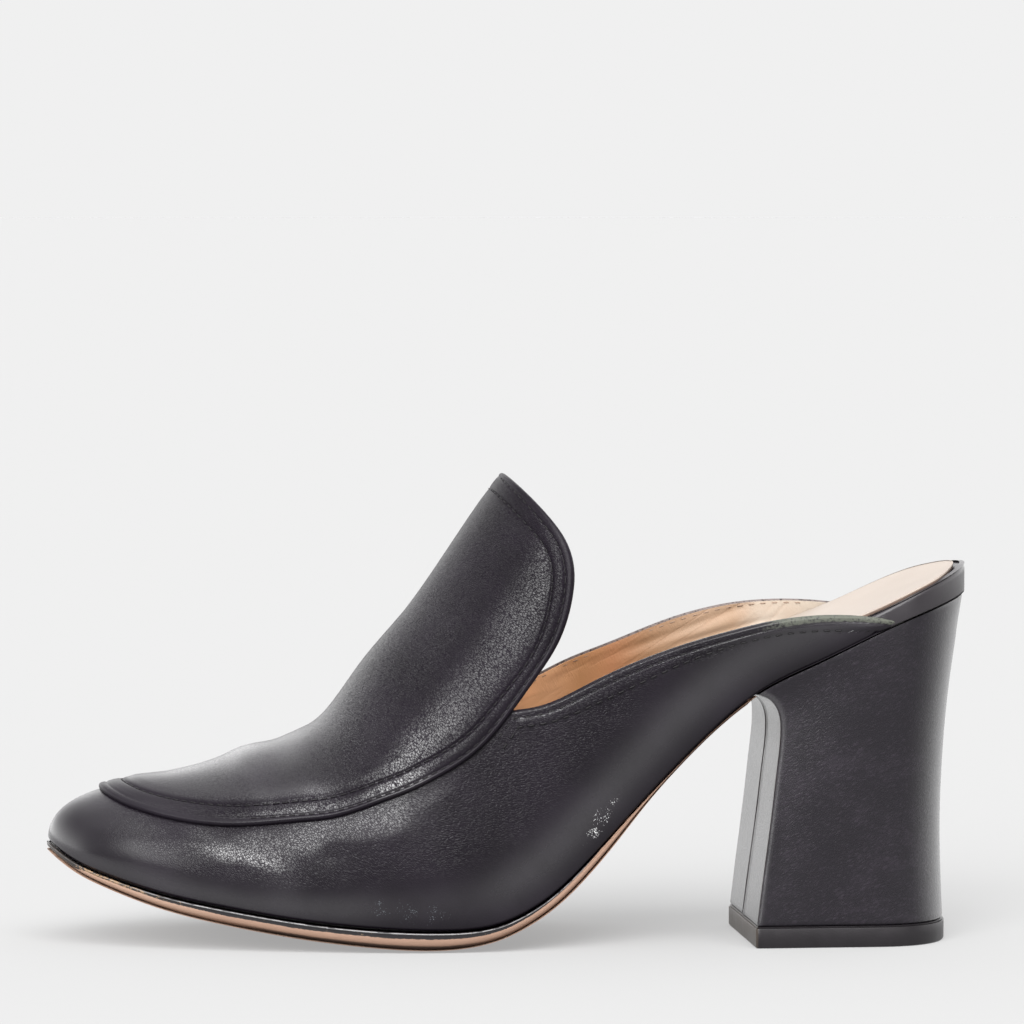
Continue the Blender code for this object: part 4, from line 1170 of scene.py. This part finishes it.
def apron_lining_arrays(side):
    """Points of one half of the tongue's lining: the apron's rings, with every other column."""
    rows = np.append(EDGE_ROWS[:-1:2], EDGE_ROWS[-1])
    points, _ = apron_skin(rows, TONGUE_RINGS, TONGUE_MIDDLE, side)
    return (points,)


points, triangles, normals, gathered, folded = fitted(both_sides(side_lining_arrays))
side_lining = shell("side_lining", points - normals * LINING[0],
                    points - normals * (LINING[1] + folded)[:, None], triangles, lining_finish,
                    {"gathered": (gathered, gathered)})
points, triangles, normals = fitted(both_sides(apron_lining_arrays))
ones = np.ones(len(points))
tongue_lining = shell("tongue_lining", points + normals * TONGUE_RISE, points - normals * LINING[1],
                      triangles, lining_finish, {"tongue": (ones, ones), "painted": (ones, 0 * ones)})

# %% Sew the lining
lining_rows = []
for side in (OUTER, INNER):
    points, down, _ = wall_skin(EDGE_ROWS[FRONT - 2:FRONT], WING_X, SHARES, side)
    ups = -grid_normals(points)
    wanted = np.full((1, points.shape[1]), LINING_SEAM)
    path, up = (at_lengths(down, array, wanted)[0] for array in (points + ups * LINING[1], ups))
    kept = path[:, 0] < 0.0
    lining_rows.append(stitch_row(path[kept], up[kept], WING_PITCH, *LINING_ROW))
lining_stitches = sew("lining_stitches", lining_rows, tan_thread)

# %% [markdown]
# ## Bottom pieces
# Sole, board and sock are plates: a grid of places in the floor's plane, lifted to two heights, with a
# rim between them. A Bevel modifier rounds an edge evenly, while the edges here are waisted, or thinner
# towards the foot. So the rim is a profile carried round the plate's edge: a list of shares of the way
# down and of how far the edge stands out there.

# %% Plan and height of a plate
# x and thickness of the board. The sole has x, thickness in the middle, the share of it that is left at
# the edge, and how far it stands out.
BOARD = ((TOE_TIP, 2.0), (-150.0, 2.2), (-100.0, 2.6), (-60.0, 4.2), (-35.0, 6.0), (-13.0, 7.2), (5.0, 5.4),
         (20.0, 5.9), (SEAT_BACK, 7.2))
SOLE = (
    (TOE_TIP, 1.8, 1.0, 0.3), (-190.0, 2.3, 1.0, 0.6), (-175.0, 3.1, 1.0, 1.0), (-150.0, 3.8, 1.0, 1.1),
    (-120.0, 4.2, 1.0, 1.0), (-100.0, 4.2, 1.0, 0.8), (-86.0, 3.1, 1.0, 0.6), (-66.0, 2.3, 0.95, 0.0),
    (-58.0, 2.2, 0.75, -0.4), (-50.0, 2.1, 0.40, -0.9), (-42.0, 2.1, 0.22, -1.3), (BREAST, 2.1, 0.20, -1.8),
)
board_thickness, sole_shape = columns(BOARD), columns(SOLE)
CLEAR = 0.3              # gap between the last and what lies under it


def plate_plan(x, margin, across):
    """Plan points of a plate, one row across for each x, with its edges moved out from the feather line."""
    nudge, ends = 0.05, []
    for side in (OUTER, INNER):
        turn = side * turn_of(x)
        here, ahead, back = (np.stack([x_of(t), edge_y(t)], -1) for t in (turn, turn + nudge, turn - nudge))
        along = (ahead - back) / np.linalg.norm(ahead - back, axis=-1, keepdims=True)
        ends.append(here + np.stack([-along[..., 1], along[..., 0]], -1) * np.asarray(margin)[..., None])
    return ends[0][:, None] + (ends[1] - ends[0])[:, None] * (across[None, :, None] + 1) / 2


def under_last(plan):
    """Height of the last's underside: level with the feather line at its edges, and lower between them."""
    x, y = np.clip(plan[..., 0], TOE_TIP, SEAT_BACK), plan[..., 1]
    outer, inner = feather(x, OUTER), feather(x, INNER)
    share = np.clip((y - outer[..., 1]) / np.maximum(inner[..., 1] - outer[..., 1], 1e-6), 0, 1)
    return outer[..., 2] + (inner - outer)[..., 2] * share - 4 * crown_depth(x) * share * (1 - share)


def lifted(plan, height):
    """Places in the plan with their heights."""
    return np.concatenate([plan, height[..., None]], -1)


# %% Plates and their rims
def plate(name, over, under, rim, finish):
    """A closed body from two grids and a rim profile: rows of (share of the way down, how far out). The
    first row of each grid is the toe's tip. The mark `down` runs from 0 on the top to 1 on the underside."""
    rows, count = over.shape[:2]
    index = np.arange(rows * count).reshape(rows, count)
    loop = np.concatenate([index[:, 0], index[-1, 1:-1], index[:0:-1, -1]])
    top, foot = over.reshape(-1, 3), under.reshape(-1, 3)
    middle = (top[loop] + foot[loop]) / 2
    ahead = np.roll(middle, -1, 0) - np.roll(middle, 1, 0)
    away = np.stack([ahead[:, 1], -ahead[:, 0], 0 * ahead[:, 0]], -1)
    away /= np.maximum(np.linalg.norm(away, axis=1, keepdims=True), 1e-9)
    away *= np.sign(((middle - middle.mean(0)) * away).sum())
    shares, outs = np.array(rim, float).T
    rings = (top[loop] + (foot - top)[loop] * shares[:, None, None]) + away * outs[:, None, None]
    top, foot = top.copy(), foot.copy()
    top[loop], foot[loop] = rings[0], rings[-1]
    grid = quads_of(rows, count)
    size, total = len(loop), rows * count
    ring_index = np.arange(len(rings) * size).reshape(len(rings), size) + 2 * total
    ring_index[0], ring_index[-1] = loop, loop + total
    ahead = np.roll(ring_index, -1, 1)
    strip = np.stack([ring_index[:-1], ring_index[1:], ahead[1:], ahead[:-1]], -1).reshape(-1, 4)
    points = np.concatenate([top, foot, rings.reshape(-1, 3)])
    down = np.concatenate([np.zeros(total), np.ones(total), np.repeat(shares, size)])
    keep, quads = weld(points, np.concatenate([grid, grid[:, ::-1] + total, strip]))
    return put(name, points[keep], triangles_of(quads), finish, {"down": down[keep]})


def arc_rim(height, top_radius, foot_radius, steps=6):
    """Rim with rounded corners, on a plate of this height."""
    turn = np.linspace(0, np.pi / 2, steps)
    down, out = 1 - np.cos(turn), np.sin(turn) - 1
    top = np.column_stack([top_radius * down / height, top_radius * out])
    foot = np.column_stack([1 - foot_radius * down / height, foot_radius * out])
    return np.concatenate([top, foot[::-1]])


# %% [markdown]
# ## Outsole
# The sole is tan leather, skived thin under the arch. Its edge is inked black below the upper, and right
# down at the tip. The bevel under the ink stays natural, with worn places where the ink has rubbed off.
# Its lower corner under the ball is painted dark, a painted shade where it turns in towards the floor, and
# a pale line along the ink's top corner is a painted highlight. Two materials would part at a straight line
# of the mesh. One material that mixes both by the mark `down`, which says how far down the edge a point
# lies, and by some noise gives the ink its ragged border.

# %% Inked sole leather
def sole_paint(finish):
    """Ink where the mark `down` plus some noise is under 0.4, and tan beyond it. The ink has rubbed specks,
    and a pale broken line along its top corner is a painted highlight. The tan is painted darker along its
    lower corner under the ball, a painted shade."""
    place = finish.place()
    down = finish.attribute("down")
    x, _, _ = finish.split(place)
    ragged = finish.noise(place, 900.0, 3.0, 0.6) * 0.10 + finish.noise(place, 160.0, 2.0) * 0.10
    toe = 1 - x.step(-188 * MM, -160 * MM)
    tip = 1 - x.step(-196 * MM, -189 * MM)
    bare = down + ragged + x.step(-92 * MM, -58 * MM) * 0.32 + toe * 0.10
    inked = 1 - (bare - tip * 0.75).step(0.40, 0.46)
    rubbed = (finish.noise(place, 1100.0, 3.0, 0.7) + toe * 0.22 - tip * 0.30).step(0.66, 0.74)
    fibres = finish.noise(finish.stretched(place, (0.004, 0.004, 0.0005)), 1.0, 3.0, 0.6)
    tan = finish.mix(fibres, colour(0.20, 0.122, 0.085), colour(0.25, 0.155, 0.111))
    # Painted shade: the lower corner under the ball is darkened where it turns in towards the floor.
    underside_shade = (down + ragged * 0.6).step(0.74, 0.86) * (1 - down.step(0.95, 1.0))
    underside_shade = underside_shade * x.step(-160 * MM, -140 * MM) * (1 - x.step(-100 * MM, -84 * MM))
    tan = finish.mix(underside_shade, tan, colour(0.045, 0.030, 0.024))
    tan = finish.mix(1 - x.step(-172 * MM, -148 * MM), tan, colour(0.262, 0.168, 0.122))
    # A pale broken line along the ink's top corner: a painted highlight.
    lip = (1 - (down - 0.042).math("ABSOLUTE").step(0.011, 0.038)) * (1 - x.step(-72 * MM, -58 * MM))
    lip = lip * finish.noise(place, 300.0, 3.0, 0.7).step(0.36, 0.56)
    ink = finish.mix(toe, colour(0.008, 0.007, 0.008), colour(0.022, 0.018, 0.016))
    ink = finish.mix(rubbed, ink, colour(0.20, 0.13, 0.075))
    ink = finish.mix(lip * (0.7 - toe * 0.5), ink, colour(0.22, 0.21, 0.21))
    relief = finish.relief(fibres * (0.04 * MM))
    return {"Base Color": finish.mix(inked, tan, ink), "Roughness": 0.62 - inked * 0.30, "Normal": relief}


sole_finish = material("sole_leather", 0.6, sole_paint, Specular_IOR_Level=0.4)
# %% Build the outsole
STATIONS = stations(TOE_TIP, WING_END, 1.4)               # x of the plates' rows
ACROSS = np.sin(np.linspace(-np.pi / 2, np.pi / 2, 23))   # and the places across them, from -1 to 1

x = np.concatenate([STATIONS[STATIONS < BREAST - 2], [BREAST - 0.6]])
thickness, edge_share, margin = sole_shape(x).T
plan = plate_plan(x, margin, ACROSS)
over = lifted(plan, under_last(plan) - CLEAR)
depth = thickness[:, None] * (1 - (1 - edge_share)[:, None] * ACROSS**2)
slope = np.arctan(np.maximum(np.gradient(bottom_z(x), x), 0))[:, None]
under = over + np.stack([depth * np.sin(slope), 0 * depth, -depth * np.cos(slope)], -1)
under[..., 2] = np.maximum(under[..., 2], 0.0)
SOLE_RIM = (
    (0, -0.45), (0.015, -0.2), (0.045, 0.0), (0.09, 0.08), (0.135, 0.02), (0.18, -0.03), (0.32, 0.0),
    (0.41, -0.04), (0.5, -0.12), (0.6, -0.25), (0.7, -0.5), (0.78, -0.85), (0.88, -1.5), (1.0, -2.6),
)
outsole = plate("sole", over, under, SOLE_RIM, sole_finish)
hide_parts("outsole")

# %% [markdown]
# ## Insole board and sock
# The board is the shoe's spine. Behind the wings its edge shows as a band round the seat, covered in
# glossy black leather. The sock, a thin nude leather, is glued on top of it, with a dark cut edge. The
# band could be a strip of its own, but as the board's own rim it can't come away from it.

# %% Insole board
def seat_paint(finish):
    """Black with a fine grain and a cloudy gloss."""
    place = finish.place()
    relief = finish.relief(fine_grain(finish, 0.5) * (0.02 * MM))
    cloud = finish.noise(place, 120.0, 3.0)
    return {"Base Color": finish.mix(cloud, colour(0.014, 0.012, 0.014), colour(0.024, 0.021, 0.024)),
            "Roughness": 0.26 + cloud * 0.12, "Normal": relief}


seat_finish = material("seat_leather", 0.3, seat_paint, Specular_IOR_Level=0.34)
BOARD_CLEARANCE = 0.6                   # from the board's edge to the inside of the upper
SEAT_STEP = 0.5                         # from the wings' ends to the first of the seat's own rows
BOARD_LIFT = 0.1                        # of its underside over the last's
BOARD_WIDENS = (2.0, WING_END + 2)      # x between which it widens to the seat's edge
BOARD_RIM = arc_rim(5.5, 1.3, 0.5)
WALL, WALL_END = 1.8, 0.7               # thickness of the upper, and where its wings run out

seat_share = np.sin(np.linspace(0, np.pi / 2, 32))
seat_start = WING_END + SEAT_STEP
x = np.concatenate([STATIONS, seat_start + (SEAT_BACK - seat_start) * seat_share])
wall = np.interp(x, (-5.0, WING_END), (WALL, WALL_END))
plan = plate_plan(x, -(wall + BOARD_CLEARANCE) * (1 - soft(x, *BOARD_WIDENS)), ACROSS)
height = under_last(plan)
board = plate("seat_board", lifted(plan, height + board_thickness(x)[:, None]),
              lifted(plan, height + BOARD_LIFT), BOARD_RIM, seat_finish)
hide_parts("insole_board")


# %% Sock
def sock_paint(finish):
    """Two close nude shades in soft clouds, and a darker cut edge where the mark `down` rises."""
    place = finish.place()
    height = fine_grain(finish, 0.8) * (0.02 * MM)
    relief = finish.relief(height)
    cloud = finish.noise(place, 45.0, 3.0).step(0.25, 0.8)
    skin = finish.mix(cloud, colour(0.222, 0.185, 0.157), colour(0.252, 0.212, 0.181))
    edge = finish.attribute("down").step(0.15, 0.5)
    return {"Base Color": finish.mix(edge, skin, colour(0.10, 0.066, 0.05)), "Normal": relief}


sock_finish = material("sock_leather", 0.5, sock_paint, Specular_IOR_Level=0.35)
SOCK_THICK, SOCK_INSET, SOCK_WIDENS = 1.0, 0.9, (2.0, 24.0)
SOCK_BACK_INSET, SOCK_BACK = 2.0, (22.0, 33.0)      # it stops short of the seat's back
SOCK_LIFT = 0.05

margin = -SOCK_INSET - (WALL + BOARD_CLEARANCE) * (1 - soft(x, *SOCK_WIDENS))
plan = plate_plan(x, margin - SOCK_BACK_INSET * soft(x, *SOCK_BACK), ACROSS)
foot = under_last(plan) + board_thickness(x)[:, None] + SOCK_LIFT
sock = plate("sock_lining", lifted(plan, foot + SOCK_THICK), lifted(plan, foot),
             arc_rim(SOCK_THICK, 0.35, 0.1), sock_finish)
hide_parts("sock")

# %% [markdown]
# ## Heel
# The heel is a block of wood or plastic, covered in one piece of leather that is drawn round it from the
# back and closed down the middle of the breast, its front face. A cube could be bent and bevelled to this
# shape, but its flare, flat breast and sloping seat are easier to give as level sections. Each section is
# D-shaped, a closed loop smoothed along its length so that the front corners are round, and the loops are
# stacked from the cap up to the seat. The mark `polish` puts the gloss on the breast and round the back,
# and `creased` the fine creases everywhere but on the breast. The cap, a rubber top piece, is the lowest
# loop carried through a small profile.

# %% Sections of the heel
HEEL = (                # level, from 0 at the cap to 1 at the seat, and x of breast and back there
    (0.00, -23.0, 27.5), (0.15, -21.9, 27.0), (0.30, -20.7, 26.8), (0.50, -19.1, 27.4), (0.65, -18.0, 28.4),
    (0.80, -17.1, 30.0), (0.87, -17.5, 30.9), (0.92, -18.7, 31.5), (0.96, -20.4, 32.1), (1.00, BREAST, 32.7),
)
heel_profile = columns(HEEL)
HEEL_HALF_WIDTH = 24.8   # at the cap
HEEL_STRAIGHT = 0.60     # share of the length along which the sides run straight
HEEL_POWER = 2.3         # of the curve round the back, where 2 would be an ellipse
SEAT_SHARE = 0.985       # of the seat's width that the heel's top has
CORNER = 0.75            # radius of the front corners
LOOP_POINTS = 360
CAP_HEIGHT, CAP_GAP = 5.3, 0.15
CAP_GROWTH = 1.012       # the cap is this much wider than the foot of the heel


def heel_plan(along, share, level):
    """Plan point of a level section: along it from breast to back, and across it from -1 to 1."""
    breast, back = np.moveaxis(heel_profile(level), -1, 0)
    seat_x = BREAST + along * (SEAT_BACK - BREAST)
    seat_outer, seat_inner = edge_y(-turn_of(seat_x)), edge_y(turn_of(seat_x))
    seat_y = (seat_outer + (seat_inner - seat_outer) * (share + 1) / 2) * SEAT_SHARE
    round_part = np.clip((along - HEEL_STRAIGHT) / (1 - HEEL_STRAIGHT), 0, 1)
    foot_y = HEEL_HALF_WIDTH * (1 - round_part**HEEL_POWER)**(1 / HEEL_POWER) * share
    return np.stack([breast + along * (back - breast), foot_y + (seat_y - foot_y) * level], -1)


def heel_loop(level):
    """Closed loops of the level sections, starting in the middle of the breast: an array of levels, points
    and (x, y). The points are spaced evenly, and then averaged with their neighbours so that the corners
    turn on a radius near CORNER."""
    along = np.sin(np.linspace(0, np.pi / 2, 90))
    half = np.linspace(0, 1, 30)[1:-1]
    path = np.concatenate([np.column_stack([0 * half, half]), np.column_stack([along, 1 + 0 * along]),
                           np.column_stack([along, -1 + 0 * along])[-2::-1],
                           np.column_stack([0 * half, -half])[::-1], [[0, 0]]])
    path = np.vstack([[0, 0], path])
    loop = heel_plan(path[None, :, 0], path[None, :, 1], level[:, None])
    length = arc_length(loop, 1)
    spaced = np.linspace(0, 1, LOOP_POINTS, endpoint=False)
    even = at_lengths(length.T, np.moveaxis(loop, 1, 0), spaced[:, None] * length[:, -1][None])
    even = np.moveaxis(even, 0, 1)
    spacing = length[0, -1] / LOOP_POINTS
    reach = int(4 * CORNER / spacing) + 1
    offsets = np.arange(-reach, reach + 1)
    weights = bump(offsets * spacing, CORNER)
    return sum(w * np.roll(even, -k, 1) for k, w in zip(offsets, weights / weights.sum()))


# %% Heel leather
def heel_paint(finish):
    """Black in two shades that follow soft clouds, drawn-out streaks, a fine noise and the creases, which
    are painted darker as painted shade. Grain, streaks and creases are the relief, and the coat is where the
    mark
    `polish` is."""
    place = finish.place()
    drawn = finish.noise(finish.stretched(place, (0.010, 0.010, 0.0022), -0.12), 1.0, 3.0, 0.6, 1.2)
    creases = crinkle(finish, -35, 2.4, 0.8).step(0.0, 0.5)
    height = fine_grain(finish) * (0.022 * MM) + drawn * (0.015 * MM)
    height = height + creases * finish.attribute("creased") * (0.025 * MM)
    relief = finish.relief(height)
    cloud, grain = finish.noise(place, 90.0, 4.0, 0.6), finish.noise(place, 2300.0, 2.0, 0.6)
    # The creases weigh in here too, so they are painted darker: painted shade.
    shade = (cloud * 0.45 + drawn * 0.25 + grain * 0.15 + creases * 0.15).step(0.40, 0.66)
    return {"Base Color": finish.mix(shade, colour(0.0062, 0.0049, 0.0072), colour(0.0136, 0.0105, 0.0151)),
            "Roughness": 0.32 + cloud * 0.12, "Normal": relief,
            "Coat Weight": (finish.attribute("polish") * (0.70 + grain.step(0.35, 0.65) * 0.55)).clamp()}


heel_finish = material("heel_leather", 0.3, heel_paint, Specular_IOR_Level=0.28, Coat_Roughness=0.25,
                       Coat_IOR=1.7)
# %% Build the heel
BREAST_SEAM, SEAM_SWELL = 0.7, 0.25
ENDS = np.array([0.0, 0.004, 0.01]), np.array([0.992, 1.0])      # levels of the turned edges
levels = np.concatenate([ENDS[0], np.linspace(0.02, 0.78, 34), np.linspace(0.80, 0.985, 22), ENDS[1]])
loop = heel_loop(levels)
across = loop[..., 1]
front = bump(loop[..., 0] - loop[:, :1, 0], 0.6)
loop[..., 0] += front * (BREAST_SEAM * bump(across, 0.35) - SEAM_SWELL * bump(np.abs(across) - 1.2, 0.8))
# The turned edges at both ends are drawn in a little.
centre = loop.mean(1, keepdims=True)
pinch = np.interp(levels, np.concatenate(ENDS), (0.985, 0.995, 1, 1, 0.997))
loop = centre + (loop - centre) * pinch[:, None, None]
foot_z = CAP_HEIGHT + CAP_GAP
side_points = lifted(loop, foot_z + (under_last(loop) - CLEAR - foot_z) * levels[:, None])
inward = np.linspace(1, 0, 12)[1:]
lids = []
for level in (0, -1):
    lid = loop[level].mean(0) + (loop[level] - loop[level].mean(0)) * inward[:, None, None]
    lids.append(lifted(lid, np.full(lid.shape[:2], foot_z) if level == 0 else under_last(lid) - CLEAR))
stack = np.concatenate([lids[0][::-1], side_points, lids[1]])
quads = quads_of(*stack.shape[:2], closed=True)
keep, quads = weld(stack.reshape(-1, 3), quads)
points = stack.reshape(-1, 3)[keep]
share = np.clip((points[:, 2] - foot_z) / (bottom_z(points[:, 0]) - foot_z), 0, 1)
front, back = heel_profile(share).T
behind_breast, before_back = points[:, 0] - front, points[:, 0] - back
polish = bump(np.maximum(behind_breast - 0.4, 0), 0.65) + 1.5 * bump(before_back, 7.0)
creased = soft(behind_breast, 1.5, 5.0)
heel = put("heel_cover", points, triangles_of(quads), heel_finish, {"polish": polish, "creased": creased})
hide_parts("heel_block")


# %% Heel cap
CAP_FRONT = HEEL[0][1]


def rubber_paint(finish):
    """Cloudy black rubber, painted a lighter grey on the front face as a painted reflection."""
    place = finish.place()
    cloud = finish.noise(place, 200.0, 4.0, 0.6)
    height = cloud * (0.05 * MM) + finish.noise(place, 2500.0, 2.0) * (0.02 * MM)
    relief = finish.relief(height)
    shade = finish.mix(cloud, colour(0.006, 0.005, 0.006), colour(0.013, 0.011, 0.013))
    x, _, _ = finish.split(place)
    front = 1 - x.step((CAP_FRONT - 0.2) * MM, (CAP_FRONT + 0.5) * MM)
    # The front face is painted a lighter grey: a painted reflection.
    front_reflection = finish.mix(cloud, colour(0.024, 0.018, 0.014), colour(0.055, 0.044, 0.036))
    return {"Base Color": finish.mix(front, shade, front_reflection), "Roughness": 0.32 + cloud * 0.15,
            "Normal": relief}


rubber_finish = material("cap_rubber", 0.5, rubber_paint, Specular_IOR_Level=0.30)
foot = heel_loop(np.array([0.0]))[0]
centre = foot.mean(0)
cap_profile = np.array((            # share of the way out, height: a small groove runs below its top
    (0.0, 0.0), (0.5, 0.0), (0.97, 0.0), (0.99, 0.0), (1.0, 0.4), (1.0, 4.7), (0.998, 4.85),
    (0.980, 4.95), (0.980, 5.1), (0.99, 5.2), (0.985, CAP_HEIGHT), (0.5, CAP_HEIGHT), (0.0, CAP_HEIGHT),
))
ring = centre + (foot - centre) * CAP_GROWTH * cap_profile[:, 0, None, None]
stack = lifted(ring, np.broadcast_to(cap_profile[:, 1, None], ring.shape[:2]))
keep, quads = weld(stack.reshape(-1, 3), quads_of(*stack.shape[:2], closed=True))
cap = put("cap", stack.reshape(-1, 3)[keep], triangles_of(quads), rubber_finish)
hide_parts("heel_cap")
